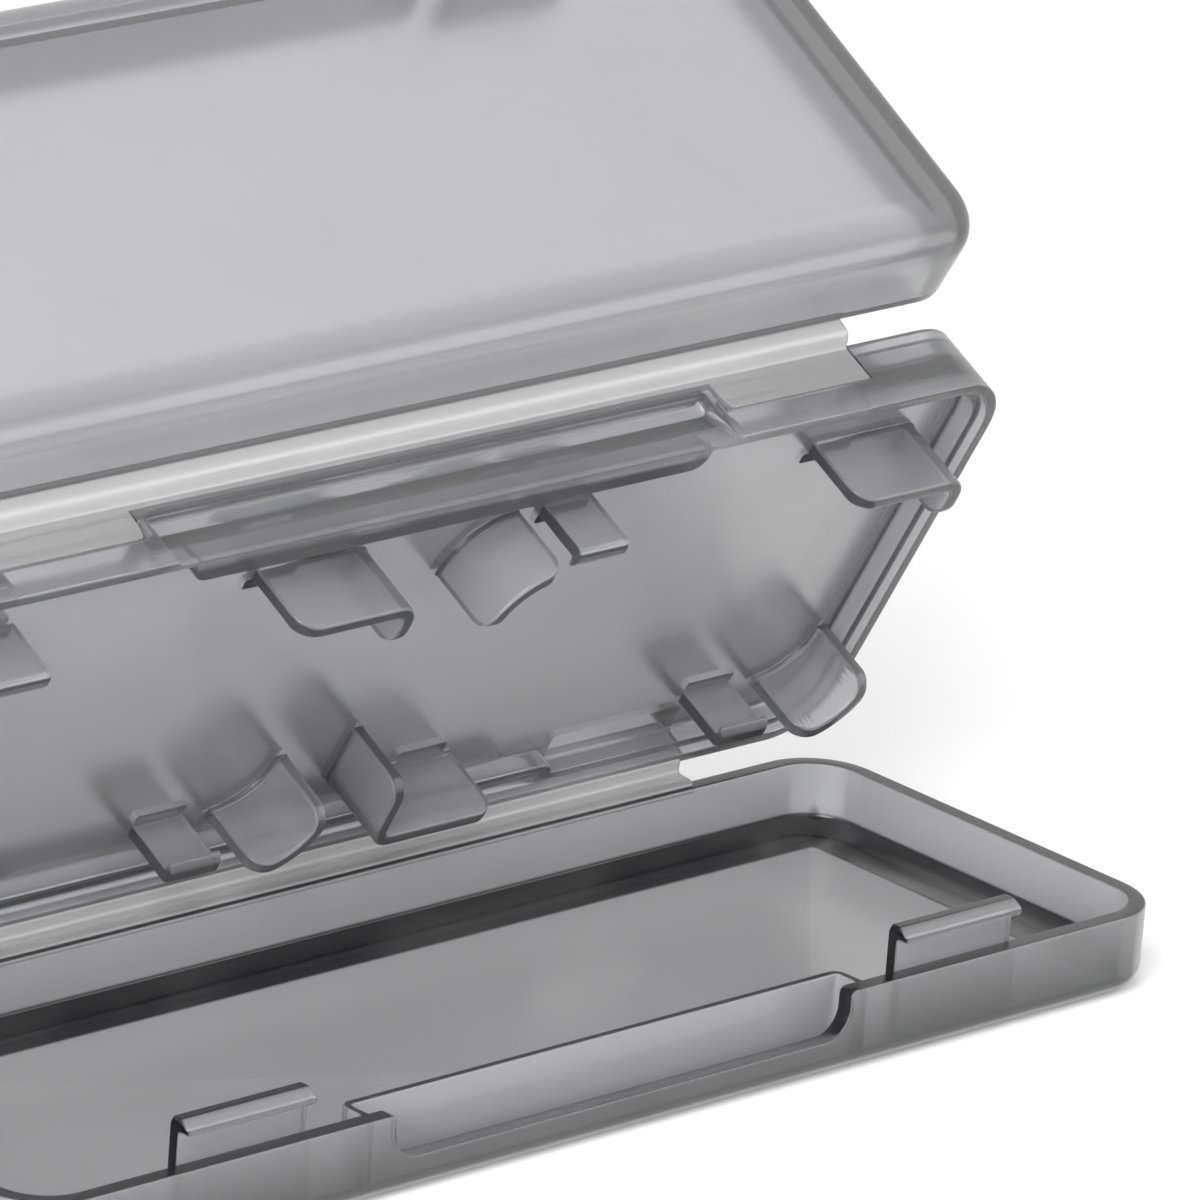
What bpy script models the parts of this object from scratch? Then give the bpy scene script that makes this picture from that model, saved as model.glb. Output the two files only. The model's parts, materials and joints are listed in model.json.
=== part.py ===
"""Game card case: two shallow covers and a card leaf between them, joined in a Z by two film hinges.

Metres, +Z up. The origin is the middle of the bottom cover's underside, +X runs along the case and
-Y is the side that opens. Every piece is drawn where it lies in the closed case. The leaf and the top
cover hang on an empty on their film hinge, and the two empties open the case to its resting pose.
"""

import math

import bmesh
import bpy
from mathutils import Matrix, Vector

# Overall size of one moulding
CASE_LENGTH = 0.0916
CASE_DEPTH = 0.0318
COVER_HEIGHT = 0.0054
LEAF_HEIGHT = 0.0052
PLAN_RADIUS = 0.0044
FACE_EDGE_RADIUS = 0.0016
SHELL = 0.0012

# Film hinges: the gap between closed rims, and how far outside the wall the film bends
RIM_GAP = 0.0004
HINGE_REACH = 0.0009
LEAF_OPENING = math.radians(62.1)
COVER_OPENING = math.radians(92.3)
FILM = 0.00035
FILM_WEB = 0.00025
FILM_SEAT = 0.00005
FILM_TAIL = 0.0029
FILM_ANCHOR = 0.0020
REAR_FILM_LENGTH = 0.0680
FRONT_FILM_LENGTH = 0.0700
FILM_END_GAP = 0.0001
THUMB_FILM_TAIL = 0.0007

# Thumb notch of a cover, with the pocket that takes the leaf's tongue. The pocket ends this far from the
# hooks, the notch this far inside the pocket, and the tongue has this much play in it at each end
POCKET_FROM_HOOK = 0.0035
NOTCH_INSIDE_POCKET = 0.0013
TONGUE_PLAY = 0.0005
NOTCH_DEPTH = 0.0029
NOTCH_RADIUS = 0.0018
POCKET_MOUTH = 0.0015
POCKET_WALL = 0.0006

# Snap hooks of a cover
HOOK_FROM_END = 0.0124
HOOK_WIDTH = 0.0098
HOOK_THICKNESS = 0.0009
HOOK_FROM_FACE = 0.0019
HOOK_RISE = 0.0024
HOOK_LIP = 0.0008
HOOK_LIP_HEIGHT = 0.0009
ROOT_GAP = 0.0002

# Card leaf: stepped frame wall and thin panel
PANEL = 0.0013
RIM = 0.0008
STEP_WIDTH = 0.0006
STEP_DEPTH = 0.0006
PANEL_FILLET = 0.0005
RECESS_FROM_HOOK = 0.0013
RECESS_DEPTH = 0.0015
RECESS_HEIGHT = 0.0042
RECESS_WALL = 0.0008
RECESS_END_WALL = 0.0006
RECESS_CORNER = 0.0012
TONGUE_DROP = 0.0016
TONGUE_RADIUS = 0.0012
WINDOW_MARGIN = 0.0005
WINDOW_BEHIND_HOOK = 0.0004

# Card places, two side by side on each face of the panel. Across the leaf, the room for a card is what
# the margins at the back and front leave.
CARD_LENGTH_ROOM = 0.0363
CARD_PLACE_FROM_END = 0.00505
CARD_PLACE_FROM_BACK = 0.0046
CARD_PLACE_FROM_FRONT = 0.0057
POST = 0.0009
POST_HEIGHT = 0.0053
POST_TIP_RADIUS = 0.0012
CORNER_RADIUS = 0.0011
LOWER_CORNER_LONG = 0.0102
LOWER_CORNER_SHORT = 0.0054
UPPER_CORNER_LONG = 0.0092
UPPER_CORNER_SHORT = 0.0037
CURVED_POST_RADIUS = 0.0041
FLARED_POST_RADIUS = 0.0040
FLARED_POST_X = 0.0350
FINGER_WIDTH = 0.0040
FINGER_HEIGHT = 0.0042
FINGER_LIP = 0.0006
FINGER_LIP_HEIGHT = 0.0006
UPPER_FINGER_X = 0.0076
LOWER_FINGER_X = 0.0309
FINGER_WINDOW = 0.0008
LOWER_WINDOW_X = 0.0067

PLAN_SEGMENTS = 6
EDGE_SEGMENTS = 3
BEND_SEGMENTS = 6

HALF_LENGTH = CASE_LENGTH / 2
HALF_DEPTH = CASE_DEPTH / 2
CARD_WIDTH_ROOM = CASE_DEPTH - CARD_PLACE_FROM_BACK - CARD_PLACE_FROM_FRONT
HOOK_INNER_X = HALF_LENGTH - HOOK_FROM_END - HOOK_WIDTH
POCKET_HALF = HOOK_INNER_X - POCKET_FROM_HOOK - POCKET_WALL
NOTCH_HALF = POCKET_HALF - NOTCH_INSIDE_POCKET
TONGUE_HALF = POCKET_HALF - TONGUE_PLAY
RECESS_HALF = HOOK_INNER_X - RECESS_FROM_HOOK
LEAF_LOW = COVER_HEIGHT + RIM_GAP
LEAF_MID = LEAF_LOW + LEAF_HEIGHT / 2
LEAF_HIGH = LEAF_LOW + LEAF_HEIGHT
REAR_PIVOT = Vector((0.0, HALF_DEPTH + HINGE_REACH, COVER_HEIGHT + RIM_GAP / 2))
FRONT_PIVOT = Vector((0.0, -HALF_DEPTH - HINGE_REACH, LEAF_HIGH + RIM_GAP / 2))
# Half a turn about this line swaps the two covers, and the two long sides of the leaf
TO_LEAF_MID = Matrix.Translation((0, 0, LEAF_MID))
HALF_TURN = TO_LEAF_MID @ Matrix.Rotation(math.pi, 4, "X") @ TO_LEAF_MID.inverted()
AS_DRAWN = Matrix.Identity(4)
# How far a cut runs past a face, and how far an added piece sinks into what it joins
PAST = 0.001
BITE = 0.0003
SHARP_ANGLE = math.radians(30)
# Two points, or two stations of a path, closer than this are one
SAME_PLACE = 1e-7
SAME_STATION = 1e-6


def clear_scene():
    for obj in list(bpy.data.objects):
        bpy.data.objects.remove(obj, do_unlink=True)


def make_collection(name, hidden=False):
    collection = bpy.data.collections.new(name)
    bpy.context.scene.collection.children.link(collection)
    collection.hide_render = hidden
    return collection


def make_material(name, colour, roughness):
    """Polypropylene: a dielectric with its colour and its satin roughness."""
    material = bpy.data.materials.new(name)
    material.use_nodes = True
    shader = material.node_tree.nodes["Principled BSDF"]
    shader.inputs["Base Color"].default_value = (*colour, 1.0)
    shader.inputs["Roughness"].default_value = roughness
    shader.inputs["Metallic"].default_value = 0.0
    return material


def make_hinge(name, pivot, parent=None, parent_pivot=Vector()):
    """An empty on a hinge line. What hangs on it is drawn closed and turns with it."""
    hinge = bpy.data.objects.new(name, None)
    PARTS.objects.link(hinge)
    hinge.parent = parent
    hinge.location = pivot - parent_pivot
    hinge["pivot"] = pivot
    return hinge


def add_object(name, mesh_data, material=None, hinge=None, cutters=None, at=None):
    """Links a mesh drawn in the closed case to its hinge. at is the piece's own origin, if it bends there."""
    mesh = bpy.data.meshes.new(name)
    pivot = Vector(hinge["pivot"]) if hinge else Vector()
    own = at if at is not None else pivot
    bmesh.ops.translate(mesh_data, vec=-own, verts=mesh_data.verts)
    bmesh.ops.recalc_face_normals(mesh_data, faces=mesh_data.faces)
    mesh_data.to_mesh(mesh)
    mesh_data.free()
    obj = bpy.data.objects.new(name, mesh)
    obj.parent = hinge
    obj.location = own - pivot
    if cutters is None:
        PARTS.objects.link(obj)
        mesh.materials.append(material)
        mesh.shade_smooth()
        mesh.set_sharp_from_angle(angle=SHARP_ANGLE)
    else:
        cutters.objects.link(obj)
        obj.hide_render = True
        obj.display_type = "WIRE"
    return obj


def combine(obj, name, operation, collection):
    """A Boolean of the object with all the tools in a collection."""
    modifier = obj.modifiers.new(name, "BOOLEAN")
    modifier.operation = operation
    modifier.operand_type = "COLLECTION"
    modifier.collection = collection
    modifier.solver = "EXACT"


def box(low, high, turn=AS_DRAWN):
    """A block between two corners, then turned into its place."""
    low, high = Vector(low), Vector(high)
    shape = bmesh.new()
    bmesh.ops.create_cube(shape, size=1.0)
    bmesh.ops.scale(shape, vec=high - low, verts=shape.verts)
    bmesh.ops.translate(shape, vec=(low + high) / 2, verts=shape.verts)
    shape.transform(turn)
    return shape


def edges_along(shape, axis, keep=lambda middle: True):
    """The edges whose ends differ only along one axis, and whose middle passes a test."""
    found = []
    for edge in shape.edges:
        run = edge.verts[1].co - edge.verts[0].co
        run[axis] = 0.0
        if run.length < SAME_PLACE and keep((edge.verts[0].co + edge.verts[1].co) / 2):
            found.append(edge)
    return found


def round_edges(shape, edges, radius, segments):
    bmesh.ops.bevel(
        shape, geom=edges, offset=radius, segments=segments, profile=0.5, affect="EDGES", clamp_overlap=True
    )


def rounded_block(low, high, plan_radius, floor_radius=0.0, turn=AS_DRAWN):
    """A block with rounded upright edges, and a rounded edge all round its lower face."""
    shape = box(low, high)
    round_edges(shape, edges_along(shape, 2), plan_radius, PLAN_SEGMENTS)
    if floor_radius:
        around = [
            edge for edge in shape.edges if all(abs(vert.co.z - low[2]) < SAME_PLACE for vert in edge.verts)
        ]
        round_edges(shape, around, floor_radius, EDGE_SEGMENTS)
    shape.transform(turn)
    return shape


def build_cover(name, turn, hinge, film_length, material):
    """An open tray: a shell with a thumb notch, the pocket wall behind it and a groove in the rim of the
    hinge wall for the film's tail."""
    ribs = make_collection(name + "_ribs", hidden=True)
    cuts = make_collection(name + "_cuts", hidden=True)
    front = -HALF_DEPTH
    inner_face = front + SHELL

    shell = rounded_block(
        (-HALF_LENGTH, front, 0), (HALF_LENGTH, HALF_DEPTH, COVER_HEIGHT), PLAN_RADIUS, FACE_EDGE_RADIUS
    )
    lid = max(shell.faces, key=lambda face: face.calc_center_median().z)
    bmesh.ops.delete(shell, geom=[lid], context="FACES")
    shell.transform(turn)
    cover = add_object(name, shell, material, hinge)
    wall = cover.modifiers.new("wall", "SOLIDIFY")
    wall.thickness = SHELL
    wall.offset = -1
    wall.use_even_offset = True

    # The pocket: a plate behind the notch and a short return to the front wall at each end
    plate_low = (-POCKET_HALF - POCKET_WALL, inner_face + POCKET_MOUTH, SHELL - BITE)
    plate_high = (POCKET_HALF + POCKET_WALL, inner_face + POCKET_MOUTH + POCKET_WALL, COVER_HEIGHT)
    add_object(name + "_pocket_plate", box(plate_low, plate_high, turn), hinge=hinge, cutters=ribs)
    for side in (-1, 1):
        inner, outer = sorted((side * POCKET_HALF, side * (POCKET_HALF + POCKET_WALL)))
        end = box(
            (inner, inner_face - BITE, SHELL - BITE),
            (outer, inner_face + POCKET_MOUTH + POCKET_WALL / 2, COVER_HEIGHT),
            turn,
        )
        add_object(f"{name}_pocket_end_{side}", end, hinge=hinge, cutters=ribs)
    combine(cover, "pocket", "UNION", ribs)

    notch = box(
        (-NOTCH_HALF, front - PAST, COVER_HEIGHT - NOTCH_DEPTH),
        (NOTCH_HALF, inner_face + BITE, COVER_HEIGHT + PAST),
    )
    round_edges(
        notch,
        edges_along(notch, 1, lambda middle: middle.z < COVER_HEIGHT),
        NOTCH_RADIUS,
        BEND_SEGMENTS,
    )
    notch.transform(turn)
    add_object(name + "_notch", notch, hinge=hinge, cutters=cuts)
    groove_half = film_length / 2 + FILM_END_GAP
    wall_middle = HALF_DEPTH - SHELL / 2
    groove_side = FILM / 2 + FILM_SEAT
    groove = box(
        (-groove_half, wall_middle - groove_side, COVER_HEIGHT - FILM_ANCHOR - FILM_END_GAP),
        (groove_half, wall_middle + groove_side, COVER_HEIGHT + PAST),
        turn,
    )
    add_object(name + "_film_groove", groove, hinge=hinge, cutters=cuts)
    combine(cover, "cuts", "DIFFERENCE", cuts)
    return cover


def hooked_tongue(width, thickness, height, lip, lip_height):
    """A flat tongue with a sloped hook at its tip, lip towards -Y, standing on the origin. It is the side
    view of the hook, a closed outline, pulled out sideways by its width."""
    outline = (
        (thickness / 2, 0.0),
        (thickness / 2, height - lip_height / 2),
        (thickness / 4, height),
        (-thickness / 2, height),
        (-thickness / 2 - lip, height - lip_height / 2),
        (-thickness / 2 - lip, height - lip_height),
        (-thickness / 2, height - lip_height),
        (-thickness / 2, 0.0),
    )
    shape = bmesh.new()
    corners = [shape.verts.new((-width / 2, y, z)) for y, z in outline]
    side = shape.faces.new(corners)
    pulled = bmesh.ops.extrude_face_region(shape, geom=[side])["geom"]
    moved = [item for item in pulled if isinstance(item, bmesh.types.BMVert)]
    bmesh.ops.translate(shape, vec=(width, 0, 0), verts=moved)
    return shape


def build_hooks(prefix, turn, hinge, material):
    """The two snap hooks of a cover. Each stands on the floor behind the front wall and bends at its root."""
    height = COVER_HEIGHT + HOOK_RISE - SHELL - ROOT_GAP
    y = -HALF_DEPTH + HOOK_FROM_FACE + HOOK_THICKNESS / 2
    for side, word in ((-1, "left"), (1, "right")):
        x = side * (HOOK_INNER_X + HOOK_WIDTH / 2)
        stand = turn @ Matrix.Translation((x, y, SHELL + ROOT_GAP))
        shape = hooked_tongue(HOOK_WIDTH, HOOK_THICKNESS, height, HOOK_LIP, HOOK_LIP_HEIGHT)
        shape.transform(stand)
        add_object(f"{prefix}_{word}", shape, material, hinge, at=stand.translation)


def post_path(points, radius):
    """Stations along a plan path of straight runs whose corners are arcs of one radius, with tangents."""
    stations = []
    last = len(points) - 1
    for i, point in enumerate(points):
        here = Vector(point)
        if i in (0, last):
            other = Vector(points[1] if i == 0 else points[last - 1])
            along = (other - here).normalized() * (1 if i == 0 else -1)
            stations.append((here, along))
            continue
        into = (here - Vector(points[i - 1])).normalized()
        out = (Vector(points[i + 1]) - here).normalized()
        turn = into.angle_signed(out)
        reach = radius * math.tan(abs(turn) / 2)
        start = here - into * reach
        side = -1 if turn > 0 else 1
        centre = start + Vector((-into.y, into.x)) * radius * side
        for step in range(BEND_SEGMENTS + 1):
            angle = -turn * step / BEND_SEGMENTS
            arm = start - centre
            turned = Matrix.Rotation(angle, 2) @ arm
            stations.append((centre + turned, Matrix.Rotation(angle, 2) @ into))
    kept = stations[:1]
    for station in stations[1:]:
        if (station[0] - kept[-1][0]).length > SAME_STATION:
            kept.append(station)
    return kept


def upright_post(stations, thickness, bottom, top, tip_radius):
    """A wall that follows a plan path: a thin rectangle carried along it. Near both ends the rectangle's
    upper and lower edges fall away on a quarter circle, so that the free corners are round."""
    walk = [0.0]
    for (a, _), (b, _) in zip(stations, stations[1:]):
        walk.append(walk[-1] + (b - a).length)
    total = walk[-1]
    # Extra stations inside the rounded ends
    steps = [tip_radius * (1 - math.cos(math.pi / 2 * k / EDGE_SEGMENTS)) for k in range(EDGE_SEGMENTS + 1)]
    wanted = []
    for s in sorted(walk + steps + [total - step for step in steps]):
        if not wanted or s - wanted[-1] > SAME_STATION:
            wanted.append(s)
    shape = bmesh.new()
    rings = []
    for s in wanted:
        i = max(k for k in range(len(walk) - 1) if walk[k] <= s + SAME_PLACE)
        share = (s - walk[i]) / (walk[i + 1] - walk[i])
        middle = stations[i][0].lerp(stations[i + 1][0], share)
        along = stations[i][1].lerp(stations[i + 1][1], share).normalized()
        across = Vector((-along.y, along.x)) * thickness / 2
        from_end = min(s, total - s, tip_radius)
        drop = tip_radius - math.sqrt(max(tip_radius**2 - (tip_radius - from_end) ** 2, 0.0))
        ring = [
            shape.verts.new((*(middle - across), bottom + drop)),
            shape.verts.new((*(middle + across), bottom + drop)),
            shape.verts.new((*(middle + across), top - drop)),
            shape.verts.new((*(middle - across), top - drop)),
        ]
        rings.append(ring)
    for a, b in zip(rings, rings[1:]):
        for k in range(4):
            shape.faces.new((a[k], a[(k + 1) % 4], b[(k + 1) % 4], b[k]))
    shape.faces.new(reversed(rings[0]))
    shape.faces.new(rings[-1])
    return shape


def card_place_origins():
    """The inner lower left corner of each card place, seen from below: x, and y at its back side."""
    y = HALF_DEPTH - CARD_PLACE_FROM_BACK
    from_end = HALF_LENGTH - CARD_PLACE_FROM_END
    return {"right": (from_end - CARD_LENGTH_ROOM, y), "left": (-from_end, y)}


def card_posts():
    """Plan paths of the four posts of one card place, from its origin: u along +X, v towards the front."""
    half = POST / 2
    right = CARD_LENGTH_ROOM + half
    front = CARD_WIDTH_ROOM + half
    lower_corner = (
        (LOWER_CORNER_LONG - POST, -half),
        (-half, -half),
        (-half, LOWER_CORNER_SHORT - POST),
    )
    upper_corner = (
        (CARD_LENGTH_ROOM + POST - UPPER_CORNER_LONG, front),
        (right, front),
        (right, CARD_WIDTH_ROOM + POST - UPPER_CORNER_SHORT),
    )
    curved = ((-half, front - CURVED_POST_RADIUS), (-half, front), (CURVED_POST_RADIUS - half, front))
    flared_right = FLARED_POST_X + FLARED_POST_RADIUS
    flared = ((FLARED_POST_X, -half), (flared_right, -half), (flared_right, FLARED_POST_RADIUS - half))
    return (
        ("lower_corner", lower_corner, CORNER_RADIUS),
        ("upper_corner", upper_corner, CORNER_RADIUS),
        ("curved", curved, CURVED_POST_RADIUS),
        ("flared", flared, FLARED_POST_RADIUS),
    )


def build_leaf(hinge, material):
    """The H section: a block with a stepped pocket in each face, then the posts and the recess walls
    added, then the recesses, windows and film seats cut."""
    pockets = make_collection("leaf_pockets", hidden=True)
    ribs = make_collection("leaf_ribs", hidden=True)
    cuts = make_collection("leaf_cuts", hidden=True)
    block = rounded_block(
        (-HALF_LENGTH, -HALF_DEPTH, LEAF_LOW), (HALF_LENGTH, HALF_DEPTH, LEAF_HIGH), PLAN_RADIUS
    )
    leaf = add_object("card_leaf", block, material, hinge)

    panel_low = LEAF_MID - PANEL / 2
    panel_high = LEAF_MID + PANEL / 2
    inset = RIM + STEP_WIDTH
    for word, turn in (("lower", AS_DRAWN), ("upper", HALF_TURN)):
        step = rounded_block(
            (-HALF_LENGTH + RIM, -HALF_DEPTH + RIM, LEAF_LOW - PAST),
            (HALF_LENGTH - RIM, HALF_DEPTH - RIM, LEAF_LOW + STEP_DEPTH),
            PLAN_RADIUS - RIM,
            turn=turn,
        )
        add_object(f"leaf_step_{word}", step, hinge=hinge, cutters=pockets)
        well = rounded_block(
            (-HALF_LENGTH + inset, -HALF_DEPTH + inset, LEAF_MID + PANEL / 2),
            (HALF_LENGTH - inset, HALF_DEPTH - inset, LEAF_HIGH + PAST),
            PLAN_RADIUS - inset,
            PANEL_FILLET,
            turn=turn,
        )
        add_object(f"leaf_well_{word}", well, hinge=hinge, cutters=pockets)
    combine(leaf, "pockets", "DIFFERENCE", pockets)

    reach = POST_HEIGHT + PANEL / 2
    for place, (x, y) in card_place_origins().items():
        for word, points, radius in card_posts():
            plan = [(x + u, y - v) for u, v in points]
            post = upright_post(
                post_path(plan, radius), POST, LEAF_MID - reach, LEAF_MID + reach, POST_TIP_RADIUS
            )
            add_object(f"post_{place}_{word}", post, hinge=hinge, cutters=ribs)

    face = -HALF_DEPTH
    back_of_recess = face + RECESS_DEPTH
    for word, turn in (("front", AS_DRAWN), ("back", HALF_TURN)):
        wall = box(
            (-RECESS_HALF - RECESS_END_WALL, face + RIM / 2, LEAF_LOW),
            (
                RECESS_HALF + RECESS_END_WALL,
                back_of_recess + RECESS_WALL,
                LEAF_LOW + RECESS_HEIGHT + RECESS_END_WALL,
            ),
        )
        inner_corners = edges_along(wall, 2, lambda middle: middle.y > back_of_recess)
        round_edges(wall, inner_corners, RECESS_CORNER, BEND_SEGMENTS)
        wall.transform(turn)
        add_object(f"recess_wall_{word}", wall, hinge=hinge, cutters=ribs)
        tongue = box(
            (-TONGUE_HALF, back_of_recess, LEAF_LOW - TONGUE_DROP),
            (TONGUE_HALF, back_of_recess + RECESS_WALL, panel_low + BITE),
        )
        round_edges(
            tongue, edges_along(tongue, 1, lambda middle: middle.z < LEAF_LOW), TONGUE_RADIUS, BEND_SEGMENTS
        )
        tongue.transform(turn)
        add_object(f"tongue_{word}", tongue, hinge=hinge, cutters=ribs)
        recess = box(
            (-RECESS_HALF, face - PAST, LEAF_LOW - PAST),
            (RECESS_HALF, back_of_recess, LEAF_LOW + RECESS_HEIGHT),
            turn,
        )
        add_object(f"recess_{word}", recess, hinge=hinge, cutters=cuts)
        for side in (-1, 1):
            near = HOOK_INNER_X - WINDOW_MARGIN
            far = HOOK_INNER_X + HOOK_WIDTH + WINDOW_MARGIN
            x_low, x_high = sorted((side * near, side * far))
            window = box(
                (x_low, face + RIM, LEAF_LOW - PAST),
                (x_high, face + HOOK_FROM_FACE + HOOK_THICKNESS + WINDOW_BEHIND_HOOK, panel_high + BITE / 2),
                turn,
            )
            add_object(f"hook_window_{word}_{side}", window, hinge=hinge, cutters=cuts)
    combine(leaf, "ribs", "UNION", ribs)

    seat = FILM + FILM_SEAT
    for word, turn, length in (
        ("front", AS_DRAWN, FRONT_FILM_LENGTH),
        ("rear", HALF_TURN, REAR_FILM_LENGTH),
    ):
        near = RECESS_HALF + RECESS_END_WALL
        far = length / 2 + FILM_END_GAP
        for part, x_low, x_high, tail in (
            ("wide", -far, far, THUMB_FILM_TAIL),
            ("left", -far, -near, FILM_TAIL),
            ("right", near, far, FILM_TAIL),
        ):
            seat_cut = box(
                (x_low, face - PAST, LEAF_HIGH - tail - FILM_END_GAP),
                (x_high, face + seat, LEAF_HIGH + PAST),
                turn,
            )
            add_object(f"leaf_film_seat_{word}_{part}", seat_cut, hinge=hinge, cutters=cuts)

    for place, (x, y) in card_place_origins().items():
        for word, u, v in (
            ("upper_finger", UPPER_FINGER_X, CARD_WIDTH_ROOM - FINGER_WINDOW),
            ("lower_finger", LOWER_FINGER_X, 0.0),
            ("lower_corner", LOWER_WINDOW_X, 0.0),
            ("upper_corner", CARD_LENGTH_ROOM - LOWER_WINDOW_X, CARD_WIDTH_ROOM - FINGER_WINDOW),
        ):
            window = box(
                (x + u - FINGER_WIDTH / 2, y - v - FINGER_WINDOW, panel_low - BITE),
                (x + u + FINGER_WIDTH / 2, y - v, panel_high + BITE),
            )
            add_object(f"window_{place}_{word}", window, hinge=hinge, cutters=cuts)
    combine(leaf, "cuts", "DIFFERENCE", cuts)
    return leaf


def build_fingers(hinge, material):
    """The card fingers, two for each card place on each face, lips towards the card."""
    height = FINGER_HEIGHT - ROOT_GAP
    for face_word, flip in (("under", math.pi), ("over", 0.0)):
        stand_z = PANEL / 2 + ROOT_GAP
        z = LEAF_MID + (stand_z if face_word == "over" else -stand_z)
        for place, (x, y) in card_place_origins().items():
            for row, u, v, facing in (
                ("back", LOWER_FINGER_X, -POST / 2, 0.0),
                ("front", UPPER_FINGER_X, CARD_WIDTH_ROOM + POST / 2, math.pi),
            ):
                spot = Matrix.Translation((x + u, y - v, z))
                stand = spot @ Matrix.Rotation(flip, 4, "Y") @ Matrix.Rotation(facing, 4, "Z")
                shape = hooked_tongue(FINGER_WIDTH, POST, height, FINGER_LIP, FINGER_LIP_HEIGHT)
                shape.transform(stand)
                name = f"card_finger_{face_word}_{place}_{row}"
                add_object(name, shape, material, hinge, at=stand.translation)


def film_half(name, pieces, hinge, material):
    """One half of a film hinge: a first block, and the others united with it."""
    ribs = make_collection(name + "_ribs", hidden=True)
    first, *others = pieces
    film = add_object(name, first, material, hinge)
    for i, piece in enumerate(others):
        add_object(f"{name}_{i}", piece, hinge=hinge, cutters=ribs)
    combine(film, "whole", "UNION", ribs)


def build_film(prefix, cover_word, turn, length, cover_hinge, leaf_hinge, material):
    """A film hinge, drawn as the rear one and turned for the front one. Its cover half has a tail in the
    groove of the cover's rim and a web over the rim, and its leaf half a tail on the leaf's outer face,
    cut short where the thumb recess is, and a web. The webs end on the hinge line."""
    half = length / 2
    inner = HALF_DEPTH - SHELL / 2 - FILM / 2
    end = HALF_DEPTH + HINGE_REACH - FILM_END_GAP
    middle = COVER_HEIGHT + RIM_GAP / 2
    web_low = COVER_HEIGHT + FILM_SEAT
    tail = box((-half, inner, COVER_HEIGHT - FILM_ANCHOR), (half, inner + FILM, web_low + FILM_WEB), turn)
    web = box((-half, inner + FILM / 2, web_low), (half, end, web_low + FILM_WEB), turn)
    film_half(f"{prefix}_strip_{cover_word}_half", (tail, web), cover_hinge, material)

    outer = HALF_DEPTH - FILM
    leaf_web_low = middle + RIM_GAP / 2 + FILM_SEAT
    pieces = [
        box((-half, outer, leaf_web_low), (half, HALF_DEPTH, LEAF_LOW + THUMB_FILM_TAIL), turn),
        box((-half, HALF_DEPTH - FILM / 2, leaf_web_low), (half, end, leaf_web_low + FILM_WEB), turn),
    ]
    for side in (-1, 1):
        near = RECESS_HALF + RECESS_END_WALL + FILM_END_GAP
        x_low, x_high = sorted((side * near, side * half))
        low = (x_low, outer, leaf_web_low + FILM_WEB / 2)
        pieces.append(box(low, (x_high, HALF_DEPTH, LEAF_LOW + FILM_TAIL), turn))
    film_half(f"{prefix}_strip_leaf_half", pieces, leaf_hinge, material)


clear_scene()
PARTS = make_collection("game_card_case")
smoke = make_material("smoke_polypropylene", (0.30, 0.30, 0.31), 0.38)
leaf_smoke = make_material("leaf_polypropylene", (0.26, 0.26, 0.27), 0.38)
film_grey = make_material("film_polypropylene", (0.55, 0.55, 0.56), 0.30)
hook_smoke = make_material("hook_polypropylene", (0.33, 0.33, 0.34), 0.35)

leaf_hinge = make_hinge("leaf_hinge", REAR_PIVOT)
cover_hinge = make_hinge("cover_hinge", FRONT_PIVOT, leaf_hinge, REAR_PIVOT)

build_cover("bottom_cover", AS_DRAWN, None, REAR_FILM_LENGTH, smoke)
build_hooks("tray_hook", AS_DRAWN, None, hook_smoke)
build_leaf(leaf_hinge, leaf_smoke)
build_fingers(leaf_hinge, hook_smoke)
build_cover("top_cover", HALF_TURN, cover_hinge, FRONT_FILM_LENGTH, smoke)
build_hooks("cover_hook", HALF_TURN, cover_hinge, hook_smoke)
build_film("rear", "tray", AS_DRAWN, REAR_FILM_LENGTH, None, leaf_hinge, film_grey)
build_film("front", "cover", HALF_TURN, FRONT_FILM_LENGTH, cover_hinge, leaf_hinge, film_grey)

leaf_hinge.rotation_euler = (-LEAF_OPENING, 0, 0)
cover_hinge.rotation_euler = (COVER_OPENING, 0, 0)
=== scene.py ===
# %% [markdown]
# A case for small game cards, moulded in smoke grey polypropylene: two shallow covers with a card leaf
# between them, joined in a Z by two film hinges. The solid model is loaded as a fixed frame. Every
# surface is then drawn again from its formula, finer and with the small radii that a mould leaves, and
# gets a translucent plastic that takes its colour from how much material the light passes through.
#
# The first cell loads the frame and keeps its size.

# %% frame
import json
import math

import bpy
import numpy as np
from mathutils import Matrix, Vector
from mathutils.bvhtree import BVHTree

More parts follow.
